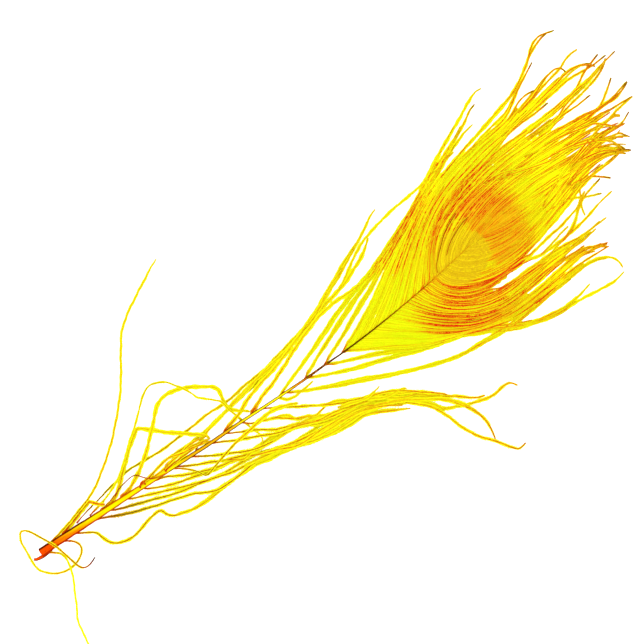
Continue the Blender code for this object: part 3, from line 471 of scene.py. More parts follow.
# Ovals of the eye: their middle along and across, their half length and half width.
RED_ARC = (182, -4, 38, 25.8)
HEART = (170.3, -3.6, 10.4, 8.8)
DISC = (183.4, -1.2, 13.4, 13.6)
WHOLE_EYE = (178, -1, 27, 26)
PALE_LEMON = (270, 268, 0)


def ease(share):
    held = np.clip(share, 0, 1)
    return held * held * (3 - 2 * held)


def on_shaft(along, column):
    """A column of the shaft's table at a place along it."""
    table = np.array(SHAFT)
    return float(np.interp(along, table[:, 0], table[:, column]))


def raised(route, rest, droop):
    """The route with heights: it leaves the shaft at its height and sinks to rest, unless one is stated."""
    root = on_shaft(route[0][0], 2) - ROOT_BELOW_SHAFT_CENTRE if droop else rest
    # A root reaches back onto the shaft's middle line, where it starts near it.
    back = route[0][0] - ROOT_REACH
    foot = (back, on_shaft(back, 1), *route[0][2:])
    low, high = ROOTED_STRETCH
    if droop and low < back < high and abs(foot[1] - route[0][1]) < NEAR_SHAFT:
        route = [foot] + route
    run = 0.0
    rows = []
    for before, point in zip(route[:1] + route, route):
        run += math.dist(point[:2], before[:2])
        sunk = float(ease(run / droop)) if droop else 1.0
        height = point[2] if len(point) == 3 else root + (rest - root) * sunk
        rows.append((point[0], point[1], height + KEEL_ABOVE_SURFACE))
    return true_places(rows)


def guide(route, rest=0.0, droop=None):
    """A route as a fixed number of even steps, so that neighbours can be mixed."""
    even, run = smooth_curve(raised(route, rest, droop), GUIDE_STEP)
    return sampled(np.linspace(0, run[-1], GUIDE_STEPS), run, even)


def barb(curve, **look):
    """All that a barb needs to be grown, in millimetres. Width is the keel's, web the ribbon's half width
    and fringe the length of the blades. Foot and tail thicken its ends. The fringe grows over root, thins
    over fade to the share thin and stops at bare. Ink is the strength of its line, brown its shades from
    root to tip, and past keeps the golden and dark end away."""
    usual = dict(width=0.34, fringe=0.85, web=0.6, foot=0.0, root=2.5, bare=0.8, tail=1.6, thin=0.34)
    usual |= dict(fade=7.0, ink=0.8, brown=0.0, past=0.0)
    return usual | look | {"curve": curve, "number": chance.random()}


def side_shift(curve, shift):
    """The curve moved to its left by a distance that may vary along it."""
    return curve + directions(curve)[1] * np.broadcast_to(shift, len(curve))[:, None]


def wander(size, waves):
    """Small smooth swaying along a barb."""
    share = np.linspace(0, 1, GUIDE_STEPS)
    phases = chance.random(3) * 2 * math.pi
    sway = sum(np.sin(share * math.pi * waves * (k + 1) + phases[k]) / (k + 1) for k in range(3))
    return sway * size


def apart(own, other, low, high):
    """Widest distance from one guide to the next over a share of their length."""
    part = own[int(low * GUIDE_STEPS) : int(high * GUIDE_STEPS)]
    return np.linalg.norm(part[:, None, :2] - other[None, :, :2], axis=2).min(axis=1).max()


def vane_barbs(routes, neighbour, openings, line_spacing, shortest):
    """Barbs on the guides of a vane and between them. Past the eye they close up on the nearest tip."""
    guides = [guide(route, 0.0, VANE_DROOP) for route in routes + neighbour]
    part = np.linspace(0, 1, GUIDE_STEPS)
    grown = []
    for number, own in enumerate(guides[: len(routes)]):
        outer = number < OUTER_GUIDES
        look = {"foot": 0.8, "tail": 1.8, "thin": 0.55, "ink": chance.uniform(0.6, 1.0)}
        look["root"], look["fade"] = (3.0, 7.0) if outer else (1.2, 16.0)
        look["brown"] = (0.15, 0.0, 0.0) if outer else (0.0, 0.0, 0.0, 0.08, 0.26, 0.26)
        grown.append(barb(side_shift(own, wander(0.16, 3)), **look))
        if outer:
            for shift in (-TWIN_APART, TWIN_APART):
                cut = int(GUIDE_STEPS * chance.uniform(0.75, 0.96))
                moved = side_shift(own, (shift + wander(0.14, 4)) * ease(part * 5))[:cut]
                grown.append(barb(moved, root=3.0, ink=chance.uniform(0.3, 0.8), past=6.0, web=0.45))
        if number + 1 == len(guides) or number + 1 < OUTER_GUIDES:
            continue
        other = guides[number + 1]
        lines = round(apart(own, other, *LINED_STRETCH) / line_spacing) - 1
        fills = max(lines, round(apart(own, other, *FILLED_STRETCH) / FILL_SPACING) - 1)
        for step in range(1, fills + 1):
            inked = (step * lines) // fills != ((step - 1) * lines) // fills
            share = (step + chance.uniform(-0.22, 0.22)) / (fills + 1)
            near, far, share = (own, other, share) if share < 0.5 else (other, own, 1 - share)
            hold = 1 - 0.6 * ease((part - CLOSING_FROM) / (1 - CLOSING_FROM))
            last = openings.get(number, chance.uniform(shortest, 0.98))
            look = {"past": 3.0, "fade": 14.0}
            if number in openings:
                hold = hold * (1 - 0.9 * ease((part - last + 0.14) / 0.12))
                look = {"past": 20.0, "fade": 7.0}
            elif number < BROKEN_UP_TO and chance.random() < BROKEN_SHARE:
                last = chance.uniform(0.3, 0.6)
            curve = near + (far - near) * (share * hold)[:, None]
            curve = side_shift(curve, wander(0.16, 4) * (0.4 + part + 1.6 * ease((part - 0.6) / 0.4)))
            curve[:, 2] += chance.uniform(-0.08, 0.08)
            look["ink"] = chance.uniform(0.6, 1.0) if inked else chance.uniform(0.0, 0.25)
            grown.append(barb(curve[: int(GUIDE_STEPS * last)], root=1.2, web=0.5, fringe=0.7, **look))
    return grown


def strip(curve, left, to_left, to_right, sunk):
    """Left edge, middle and right edge along a curve, each sunk by its own depth."""
    edges = [curve + left * to_left[:, None], curve, curve - left * to_right[:, None]]
    rows = np.stack(edges, axis=1)
    rows[:, :, 2] -= sunk
    return rows.reshape(-1, 3)


def barb_forms(one):
    """A barb's length, and its keel, web and fringes. Each has points, triangles, the points' distance
    from the root, how far out they lie, and how far to the left on the skin map."""
    knots = np.linspace(0, len(one["curve"]) - 1, len(one["curve"]) // 3).round().astype(int)
    curve, run = smooth_curve(one["curve"][knots], BARB_STEP)
    whole = run[-1]
    ahead, left = directions(curve)
    taper = np.interp(whole - run, [0, 1.0, 30], [one["tail"] * 0.75, one["tail"], 1.0])
    half = one["width"] / 2 * taper * (1 + one["foot"] * ease(1 - run / 3))
    first, beside = ring_numbers(len(curve), 3)
    runs = np.repeat(run, 3)
    signs = np.tile([1.0, 0.0, -1.0], len(curve))
    keel = strip(curve, left, half, half, half[:, None] * KEEL_SUNK)
    triangles = halves(first, first + 3, beside + 3, beside)
    forms = [(keel, triangles, runs, np.abs(signs) * 0.12, signs * 0.16)]

    cover = one["thin"] + (1 - one["thin"]) * ease((whole - run - one["bare"]) / one["fade"])
    cover = cover * (0.4 + 0.6 * ease(run / one["root"])) * ease((whole - run) / 0.6 + 0.2)
    ragged = []
    for _ in range(2):
        long_waves = 0.16 * np.sin(run * 0.8 + chance.uniform(0, 6))
        ragged.append(1 + long_waves + 0.14 * np.sin(run * 2.1 + chance.uniform(0, 6)))
    if one["web"] > 0:
        half = one["web"] * cover
        web = strip(curve, left, half * ragged[0], half * ragged[1], WEB_SUNK)
        first = first.reshape(-1, 3)[:, :2].ravel()
        triangles = halves(first, first + 3, first + 4, first + 1)
        forms.append((web, triangles, runs, np.abs(signs) * 0.6, signs * 0.5))

    for sign, rag in zip((1.0, -1.0), ragged if one["fringe"] > 0 else []):
        stations = np.arange(0.1, whole - 0.3, BLADE_STEP)
        stations = stations + chance.uniform(-0.4, 0.4, len(stations)) * BLADE_STEP
        amount = np.interp(stations, run, cover * rag)
        stations, amount = stations[amount > LEAST_BLADE], amount[amount > LEAST_BLADE]
        base, forward, outward = [sampled(stations, run, rows) for rows in (curve, ahead, left * sign)]
        angle = np.radians(chance.normal(*BLADE_ANGLE, len(stations)))[:, None]
        aim = forward * np.cos(angle) + outward * np.sin(angle)
        wide = outward * np.cos(angle) - forward * np.sin(angle)
        reach = one["fringe"] * amount * chance.uniform(*BLADE_LENGTHS, len(stations))
        tip = base + aim * reach[:, None]
        tip[:, 2] += chance.uniform(-0.2, 0.08, len(stations)) - 0.05
        foot_half, tip_half = wide * BLADE_FOOT_HALF, wide * BLADE_TIP_HALF
        blades = np.stack([base - foot_half, base + foot_half, tip + tip_half, tip - tip_half], axis=1)
        first = np.arange(len(stations)) * 4
        triangles = halves(first, first + 1, first + 2, first + 3)
        far = stations + reach * 0.8
        runs = np.clip(np.stack([stations, stations, far, far], axis=1), 0, whole).ravel()
        side = np.tile([0.15, 0.15, 1.0, 1.0], len(stations))
        forms.append((blades.reshape(-1, 3), triangles, runs, side, sign * side))
    return whole, forms


def grow(name, barbs, material):
    """All barbs of a piece as one mesh. Each has a row of its own on the skin map."""
    points, triangles, uv = [], [], []
    values = {key: [] for key in ("side", "run", "tip", "barb", "ink", "brown")}
    count = 0
    for number, one in enumerate(barbs):
        shades = np.atleast_1d(one["brown"])
        whole, forms = barb_forms(one)
        for spots, faces, run, side, leftward in forms:
            points.append(spots)
            triangles.append(faces + count)
            count += len(spots)
            map_row = (number + 0.5 + leftward * 0.42) / len(barbs)
            uv.append(np.column_stack([0.005 + 0.99 * run / whole, map_row]))
            brown = np.interp(run / whole, np.linspace(0, 1, len(shades)), shades)
            numbers = (side, run, whole - run + one["past"], one["number"], one["ink"], brown)
            for key, value in zip(values, numbers):
                values[key].append(np.broadcast_to(value, len(spots)))
    points = np.vstack(points)
    points[:, 2] = np.maximum(points[:, 2], LOWEST)
    values = {key: np.concatenate(numbers) for key, numbers in values.items()}
    new_piece(name, points, np.vstack(triangles), np.vstack(uv), values, material)


def barb_material(name):
    """Dyed barbs: lemon fringe, orange to red lines, and the rings of the eye where they lie."""
    material, shader, start = new_material(name, 0.6, 0.05)
    along, across = place_in_feather(start)
    keys = ("side", "run", "tip", "barb", "ink", "brown")
    side, run, tip, one, ink, brown = [attribute(start, key) for key in keys]
    # The rings sit a little ahead or behind on every barb.
    along = along + (one - 0.5) * 1.4

    def oval(middle_along, middle_across, half_along, half_across):
        """1 on the rim of an oval, less inside it and more outside."""
        far_along = (along - middle_along) / half_along
        far_across = (across - middle_across) / half_across
        return (far_along * far_along + far_across * far_across) ** 0.5

    patch = noise(along * 0.09, across * 0.09)
    streak = noise(run * 0.11, one * 61.0, side * 0.4, 3.0)
    dash = noise(run * 0.5, one * 37.0)
    speck = noise(run * 3.4, one * 47.0, side * 4.0)
    grain = noise(along * 1.3, across * 1.3, detail=3.0).ramp(0.4, 0.62)

    # Masks of the eye: the red arc below it, the lines above it, the pale upper edge of the vane, the
    # ochre heart, the orange disc, its yellow halo and the whole round.
    reached = along.ramp(137, 153) * brown.ramp(0.04, 0.02)
    arc = oval(*RED_ARC)
    merging = arc.ramp(0.48, 0.53) * arc.ramp(0.66, 0.6) * along.ramp(164, 170)
    low_left = 0.4 + arc.ramp(0.62, 0.52) * 0.08 - merging * 0.2 + arc.ramp(0.76, 0.88) * 0.9
    low_left = low_left * arc.ramp(0.36, 0.5) * arc.ramp(1.08, 1.02)
    from_shaft = (across + (165 - along) * 0.38).ramp(-4, -11) * 0.76 + across.ramp(-2, -5) * 0.24
    low_left = low_left * along.ramp(201, 184) * from_shaft * reached
    upper = (across + (along - 150) * 0.05).ramp(3, 9) * along.ramp(204, 186)
    outside = (across - along * 0.5).ramp(-70.5, -68) * along.ramp(166, 176)
    heart = oval(*HEART).ramp(1.05, 0.95)
    heart = heart * ((along - 168) * 0.5 - (across + 2) * 0.6).ramp(-5.5, -1)
    disc_oval = oval(*DISC) + (one - 0.5) * 0.12
    disc = disc_oval.ramp(1.08, 0.8) * along.ramp(176.5, 181)
    halo = disc_oval.ramp(1.05, 1.2) * disc_oval.ramp(1.55, 1.35) * along.ramp(188, 196) * across.ramp(12, 8)
    eye = oval(*WHOLE_EYE).ramp(1.05, 0.7)
    lower_end = across.ramp(-18, -23)

    # The line of every barb runs from yellow over orange to red.
    strength = reached * (0.22 + low_left + disc * 0.16 + upper * dash.ramp(0.4, 0.65) * 0.8)
    strength = strength - outside * 0.45 - halo * 0.16 + (streak - 0.5) * 1.5 * reached
    strength = strength + along.ramp(208, 230) * 0.2 + along.ramp(186, 196) * along.ramp(214, 204) * 0.04
    strength = strength - lower_end * along.ramp(184, 194) * 0.24
    line = strength.bands((242, 222, 0), (0.08, 0.4, (244, 136, 2)), (0.4, 0.72, (236, 20, 0)))
    line = (heart * 0.95).blend(line, (236, 198, 12))
    amber = dash.ramp(0.4, 0.6).blend((248, 160, 0), (226, 100, 0))
    line = brown.bands(line, (0.0, 0.3, amber), (0.32, 0.55, (190, 62, 0)), (0.65, 0.95, (92, 52, 0)))

    # The fringe is lemon with specks, and takes up some of the dye of the rings.
    outer_band = low_left * streak.ramp(0.35, 0.6) * (arc.ramp(0.7, 0.85) * 0.2 + 0.12)
    ochre = (across - (along - 176) * 0.4).ramp(0.5, -3.5).blend((242, 214, 8), (230, 190, 14))
    fringe = coats(
        patch.ramp(0.35, 0.65).blend((248, 252, 0), (240, 255, 0)),
        (brown.ramp(0.02, 0.05), (252, 252, 0)),
        (eye * 0.5, (246, 226, 2)),
        (speck.ramp(0.5, 0.75) * (0.5 + reached * 0.25), (240, 158, 2)),
        (outer_band, (244, 104, 0)),
        (along.ramp(201, 212), PALE_LEMON),
        (along.ramp(184, 196) * lower_end, (270, 262, 0)),
        (outside, PALE_LEMON),
        (halo * 0.5, (255, 246, 0)),
        (disc * 0.75, (242, 176, 6)),
        (heart * 0.92, grain.blend(ochre, (252, 224, 8))),
        (brown.ramp(0.75, 1.0), (206, 150, 0)),
    )

    # Over both lie rusty roots, and golden tips with dark ends.
    on_line = (side - low_left * 0.2).ramp(0.34, 0.16) * (ink * (0.6 + streak * 0.8)).ramp(0.1, 0.7)
    root = brown.ramp(0.1, 0.15) * (run.ramp(9, 2) * 0.45 + run.ramp(4, 2) * 0.5) * side.ramp(0.8, 0.4)
    gold = tip.ramp(16, 6) * side.ramp(0.5, 0.2) * brown.ramp(0.6, 0.3) * 0.7
    dark = tip.ramp(3.6, 0.8) * one.ramp(0.25, 0.5) * across.ramp(-24, -12) * side.ramp(0.6, 0.2) * 0.85
    body = coats(
        on_line.blend(fringe, line),
        (root, (216, 66, 0)),
        (gold, one.ramp(0.4, 0.6).blend((238, 200, 0), (232, 134, 0))),
        (dark, dash.ramp(0.3, 0.7).blend((140, 114, 0), (152, 90, 0))),
    )
    finish(shader, body, 0.55 + speck * 0.25, speck, 0.2, 0.0001)
    return material


barb_look = barb_material("dyed_barbs")
hairs = [barb(guide(route), width=0.16, fringe=0.0, web=0.0, brown=0.6, past=8) for route in DARK_HAIRS]
shaft_down = [(x, y, height - SHAFT_DOWN_BELOW) for x, y, height, _ in SHAFT if x >= SHAFT_DOWN_FROM]
down = dict(fringe=0.0, ink=0.0, bare=0.0, past=20.0)
hairs.append(barb(guide(shaft_down + DOWN_PAST_SHAFT), web=2.2, root=16.0, **down))
hairs += [barb(guide(bed), web=2.4, root=3.0, **down) for bed in DOWNY_BEDS]
upper = vane_barbs(UPPER_VANE, LOWER_VANE[-1:], UPPER_OPENINGS, UPPER_LINES, 0.76)
grow("upper_vane", upper + hairs, barb_look)
grow("lower_vane", vane_barbs(LOWER_VANE, [], LOWER_OPENINGS, LOWER_LINES, 0.88), barb_look)

# Eye tips. The ends of the eye's barbs, worn to thin threads with little fringe and dark at their
# ends. They grew as parts of the barbs behind them, and some have blown across their neighbours.

TIPS = [
    [(225, 9), (232, 8.2), (238, 9.1), (243, 11.8), (247, 14.6)],
    [(222, 17.5), (230, 18), (235, 18.5), (240, 21), (244, 22.4), (248, 23.5)],
    [(212, 14.6), (220, 14.4), (225, 14.5), (232, 15.6), (240, 16.8), (246, 18.6), (249.3, 20.9)],
    [(215, 23.5), (223, 25), (230, 26.3), (235, 27.2), (238, 28.4), (241, 29), (243.5, 28.9)],
    [(215, 5), (225, 5.5), (235, 4), (240, 4), (242, 2.7)],
    [(196, -20.5), (205, -18.5), (210, -15.8), (215, -12.5), (219, -11.3), (224, -10.3)],
    [(200, -8.5), (208, -9), (213, -10.3), (216, -12.2), (221.5, -14.6)],
    [(206, -6.5), (215, -6.3), (221, -7.5), (224, -9.5), (227, -12.3)],
    [(190, -25.8), (198, -25.2), (206, -25.9), (209, -27.6), (212.5, -30)],
    [(198, -20.2), (205, -19), (209, -16.8), (212, -14), (214.5, -12), (217.4, -10.7)],
    [(193, -19), (198, -18.2), (203, -17.2), (206, -16.8)],
    [(216.5, -9), (215, -11.6), (213.4, -14.4), (212.6, -17.3)],
    [(205, 19.6), (214, 20.2), (220, 20.1), (225, 20.4)],
    [(231, 3), (238, 3.9), (243, 4.8), (249, 5.3)],
    [(234, 9), (243, 8.2), (247, 8.9), (250.4, 10.2)],
    [(225, 33.7), (230, 36.9), (233, 38.2), (236, 39.1), (238.5, 39.4)],
    [(229, -1.2), (234, -3.5), (236, -6), (236.5, -7.8)],
]
# Barbs that cross the others near the tips, and lie over them at this height.
CROSSING = [
    [(192, 11.3), (198.6, 10.6), (203, 8.6), (207, 7.1), (211.8, 6), (216.7, 5.3), (220.7, 4.6), (225.5, 3.5),
     (229.9, 1.8), (233, -0.9), (234, -2.7)],
    [(196, 9.8), (203, 7.8), (209, 5.8), (215, 4.2), (221, 3.9), (226, 2.4), (231, 0.2), (234.8, -3),
     (235.7, -7.2)],
    [(205, -4.6), (211.8, -2.4), (214.9, -1.3), (218.5, -0.4), (222.9, 0.7), (226.8, 1.8), (232, 2.9),
     (236.1, 3.5), (240, 3.5), (241.8, 2.4)],
    [(203, -6.2), (210, -3.6), (216, -1.6), (222, -0.2), (228, 1.1), (232, 1.4), (237, 1.4)],
    [(208, 10.4), (215, 9.5), (222, 8.6), (229.5, 6.6), (233, 5.7), (236.1, 3.1), (238.3, 0.9), (240, -0.2),
     (241.6, -0.4)],
    [(216, 9.9), (222.9, 8.6), (228.6, 8), (233, 7.3), (237.4, 6.9), (240, 6.2), (241.8, 6)],
    [(218, -1.6), (223, -1.7), (228.6, -2.9), (231.7, -4.2), (234.3, -6.6), (235.7, -8.8)],
    [(214, -5.6), (219, -4.9), (225, -4.8), (229.5, -5.3), (233, -6.6), (235.2, -7.3), (237.4, -8.8)],
    [(214, -7.6), (220.2, -7.7), (224.6, -7.8), (229.5, -7.9), (233, -7.5), (235.2, -7)],
    [(206, 20.6), (217.6, 21.8), (222.9, 22.7), (230.8, 23.8), (235.7, 24.7), (239.6, 24.5), (241.8, 23.6),
     (244, 22.1), (244.9, 20.7)],
    [(214, 16), (225.1, 16.8), (231.7, 17.7), (236.1, 18.3), (240.5, 18.3), (246.2, 19.4), (249.3, 20.7)],
    [(216, 13.6), (224.6, 14.6), (228.2, 15.9), (231.7, 16.8), (238, 17.6)],
]
CROSSING_HEIGHT = 0.5
thin_tips = dict(width=0.46, fringe=1.05, web=0.46, thin=0.7, root=8.0)
over_them = dict(width=0.44, fringe=0.85, web=0.42, thin=0.6, root=8.0, ink=1.0, past=2.0)
tips = [barb(guide(route), **thin_tips) for route in TIPS]
tips += [barb(guide(route, CROSSING_HEIGHT), **over_them) for route in CROSSING]
grow("eye_tips", tips, barb_look)

# Loose barbs above the shaft. Horny threads with a sparse fringe, grown from the shaft like the others
# and kinked and folded by handling. Two lines of them make a small bundle, and four hug the shaft.

UPPER_LOOSE = [
    [(9, 1.2), (12, 1.7), (15, 2.4), (18, 3.4), (21, 4.2), (22.6, 4.2, 2.4), (23.8, 3, 2.6), (25, 1.8, 2.6),
     (26.3, 0.5, 2.6)],
    [(15, 1.2), (20, 2.3), (25, 3), (30, 3.9), (35, 4.6), (39, 4.95), (42, 4.8), (46, 4.3), (50, 3.9),
     (54, 3.7), (58, 3.9), (66, 4.2), (72, 4.5), (77, 4), (82, 4.1), (88, 4.9), (94, 5), (100, 5.9),
     (105, 6.8), (110, 7.6), (115, 8.5), (120, 9.3), (126, 10.4), (131.5, 11.5), (136, 13.7), (140, 16),
     (144, 18.3), (148, 20), (152, 21), (157, 21.9), (162, 22.6), (172, 23.2), (182, 24.6), (190, 26)],
    [(24, -0.4), (28, -0.3), (31, 0.8), (33, 2.2), (35, 3.6), (37, 5.1), (39, 6.8), (41, 8.4), (43, 10),
     (45, 11.5), (47, 12.8), (49, 13.9), (50.3, 14.4), (53, 12, 0.8), (55.8, 9.1, 1.4), (58, 7, 1.9),
     (60.1, 5, 2.3), (62, 3.4, 2.7), (64, 1.8, 3), (66, 0.1, 3.2), (67.2, -1.2, 3.4), (67.6, -2.8, 3.5)],
    [(20, 0.5), (26, 1.6), (30, 2.7), (34, 4.4, 2.2), (38, 7, 2.8), (42, 10, 3.4), (46, 13, 4),
     (50, 15.7, 4.5), (53, 18.1, 4.7), (57.6, 21.8, 5), (60, 23.1, 5.1), (61.5, 23.6, 5.1), (64, 23, 5.1),
     (67, 21.2, 5), (68.5, 18.8, 4.9), (70.1, 16.4, 4.9), (71.6, 13.3, 4.8), (72.6, 10.6, 4.7),
     (74.3, 9.3, 4.7), (75.8, 7.5, 4.7), (77.4, 6, 4.7), (78.2, 4.5, 4.7), (78.5, 1, 4.2), (78.9, -0.5, 3.3),
     (79.5, -2.5, 2.3), (79.8, -4.4, 1.9), (80.6, -7, 2), (81.2, -9.5, 2.3), (81.9, -12.3, 2.4),
     (80.4, -14.5, 2.4)],
    [(32, -0.9), (34.5, -0.4), (37.2, 0.4), (39.5, 1.4), (41.5, 2.4), (43.5, 3.6), (45.5, 4.9), (48, 6.6),
     (50, 8.2), (52.5, 10.2), (55, 12.3), (57.6, 14.6), (60, 16.7), (62.4, 17.7), (64.7, 17.9),
     (67.4, 17.4, 0.8), (70, 16.5, 1.4), (72.4, 15.2, 1.9), (75, 13.5, 2.4), (78.5, 10.8, 3),
     (79.5, 8.7, 3.1), (79.3, 7.2, 3.1), (78.7, 5.2, 3.2), (78.4, 3.5, 3.3), (78.4, 2, 3.4), (79.3, 0.6, 3.5),
     (81.2, -1.3, 3.6), (82.8, -2.5, 3.7), (83.9, -3.5, 3.7)],
    [(24, -0.2), (28, 0.4, 2.2), (31, 1.2, 2.6), (33.4, 2, 2.7), (36.5, 2.4, 2.9), (38.4, 2.65, 3),
     (40.3, 2.4, 3.3), (41.5, 1, 3.4), (42.6, -0.5, 3.5), (43.8, -1.6, 3.6), (45.5, -2.4, 3.7),
     (47.5, -3.1, 3.5), (50, -3.5, 3.2)],
    [(73, -3.6), (76, -2.9), (80, -1.9), (84, -0.2), (88, 1.1), (92, 2.2), (97, 3.1), (102, 4.4), (110, 6.6),
     (118, 8.8), (126, 10.6), (133.5, 12), (136.5, 13), (140, 14.4), (143, 15.6), (146.2, 17.1), (150, 19.8)],
    [(84, -4.1), (88, -2.5), (92, -1.2), (96, 0), (100, 1.5), (104, 2.9), (108, 4.6), (112, 5.9), (115, 6.8),
     (122, 8.6), (130, 9.2), (138, 9), (146, 9.6), (154, 12)],
]
UPPER_BUNDLE = [
    [(40, -1.5), (46, -0.4), (52, 0.4), (60, 0.1), (66, 0.1), (70, 0.5), (76, 1.3), (82, 2.4), (88, 3.4),
     (94, 4.1), (100, 4.9), (106, 6.2), (112, 7.7), (116, 8.7), (120, 9.9), (125, 11.8), (130, 14),
     (135, 15.9), (140, 18), (144, 19.7), (149, 22), (152, 23.8), (154.5, 25.2), (157.5, 26.2)],
    [(62, -2.6), (66, -0.9), (70, 0.2), (76, 1.2), (82, 2.6), (92, 4.3), (102, 5.4), (112, 7.1), (121, 9.8),
     (129, 13.2), (137, 16.5), (144, 19.6)],
]
# Short barbs that lie along the shaft's upper side.
HUGGING = [
    [(40, -1.1, 3.6), (43.7, -0.9, 3.6), (47.7, -0.2, 3.6), (52.5, 0.35, 3.6), (55.4, -0.4, 3.7),
     (58.5, -1.2, 3.8), (62, -1.9, 3.8), (65, -2.8, 3.8), (67.5, -3.4, 3.8)],
    [(42, -1.2, 3.4), (48, -1.8, 3.4), (54, -1.1, 3.5), (61, -1, 3.5), (67, -2.4, 3.6)],
    [(50, -2.2, 3.4), (55, -2.1, 3.4), (60, -2, 3.5), (64, -2.2, 3.6), (67.4, -2.6, 3.6)],
    [(50, -1.4, 3.2), (56, -0.8, 3.2), (62, -0.3, 3.2), (67, -1.2, 3.3)],
]
LOOSE_DROOP = 62.0
BUNDLE_STEP_UP = 0.42


def loose_barbs(routes, rest=0.0, copies=0, spread=0.2, leave=0.0, **look):
    """One barb on each route, and others that leave it after a share of its length and weave along it."""
    grown = []
    part = np.linspace(0, 1, GUIDE_STEPS)
    look = dict(foot=0.8, root=2.0, web=0.55, fringe=1.0, thin=0.6, brown=(0.15, 0.15), past=12.0) | look
    shades = np.array(look["brown"])
    for number, route in enumerate(routes):
        own = guide(route, rest * (number % 3), LOOSE_DROOP)
        look["brown"] = np.maximum(shades * chance.uniform(0.8, 1.3), 0.05)
        grown.append(barb(side_shift(own, wander(0.08, 4)), **look))
        for _ in range(copies if len(route) > 8 else 0):
            look["brown"] = np.append(0.06, np.maximum(shades * chance.uniform(0.1, 0.9), 0.05)[1:])
            start_at = leave + chance.uniform(0.0, 0.12)
            cut = int(GUIDE_STEPS * chance.uniform(0.8, 1.0))
            sway = wander(spread, 3) * ease((part - start_at) / 0.2) * ease((1 - part) / 0.15)
            moved = side_shift(own, sway)[int(GUIDE_STEPS * start_at) : cut]
            moved[:, 2] += chance.uniform(0.0, 0.25)
            grown.append(barb(moved, **look | {"foot": 0.0}))
    return grown


folded = loose_barbs(UPPER_LOOSE[:1], width=0.5, web=0.9, fringe=1.3, thin=0.8, ink=1.0, brown=0.25)
long_ones = loose_barbs(UPPER_LOOSE[1:2], root=36.0, brown=(0.8, 0.7, 0.2, 0.15, 0.1, 0.05, 0.05))
kinked = loose_barbs(UPPER_LOOSE[2:3], width=0.4, web=0.8, fringe=1.3, brown=(0.4, 0.15, 0.1, 0.1))
outer_shades = (0.3, 0.1, 0.1, 0.1, 0.2, 0.7, 0.6, 0.1, 0.5, 0.1, 0.1)
outer = loose_barbs(UPPER_LOOSE[3:4], web=0.4, fringe=0.75, ink=0.4, brown=outer_shades)
bent = loose_barbs(UPPER_LOOSE[5:6], width=0.3, web=0.15, fringe=0.3, brown=(0.3, 0.5, 0.8, 0.8, 0.5, 0.2))
rest = loose_barbs(UPPER_LOOSE[4:5] + UPPER_LOOSE[6:], web=0.75, fringe=1.2, brown=(0.3, 0.1, 0.1))
grow("upper_loose_barbs", folded + long_ones + kinked + outer + bent + rest, barb_look)
hugging = loose_barbs(HUGGING, web=0.5, fringe=0.8, brown=(0.6, 0.3, 0.3, 0.1))
bundle = loose_barbs(UPPER_BUNDLE, BUNDLE_STEP_UP, 2, 0.45, 0.1, brown=(0.3, 0.15, 0.1))
grow("upper_bundle", bundle + hugging, barb_look)

# Loose barbs below the shaft, grown from it with a sparse fringe, and drawn down by handling. One loops
# round the quill, one crosses the others, and most cling together in a bundle that runs on below the eye.

LOWER_LOOSE = [
    [(8.3, -1.4, 1.2), (10.2, -2.7, 0.9), (11.5, -5.2, 0.4), (10.6, -7.6, 0.1), (7.5, -9.3, -0.05),
     (4, -9.7, -0.05), (1, -9, -0.05), (-2, -7, 0.2), (-4.5, -4, 0.8), (-4.6, 0, 1.5), (-4, 4.4, 2.3),
     (-3.4, 7.6, 2.9), (-1.7, 9.9, 3.3), (0.2, 8.7, 3.5), (2.2, 5, 3.6), (4, 1, 3.5), (5.2, -2.6, 3.2),
     (6.2, -7, 2.1), (7.2, -10.8, 1), (8.3, -12.3, 0.7), (10.5, -12.5, 0.5), (13.3, -11.6, 0.6)],
    [(52, -3.4, 3), (54, -5, 3.2), (56, -6.8, 3.3), (57.6, -8.6, 3.3), (58.4, -10.2, 3.2), (59, -11.6, 3),
     (60.3, -12, 2.9), (63, -11.3, 3.1), (67, -10.3, 3.3), (73, -9, 3.5), (80, -8.2, 3.5), (86, -7.6, 3.5),
     (91, -7.8, 3.5), (95, -9, 3.3), (98.5, -10.7, 3)],
    [(94, -5.2), (95.5, -7), (98, -8.1), (102, -8.1), (106.8, -7.6)],
]
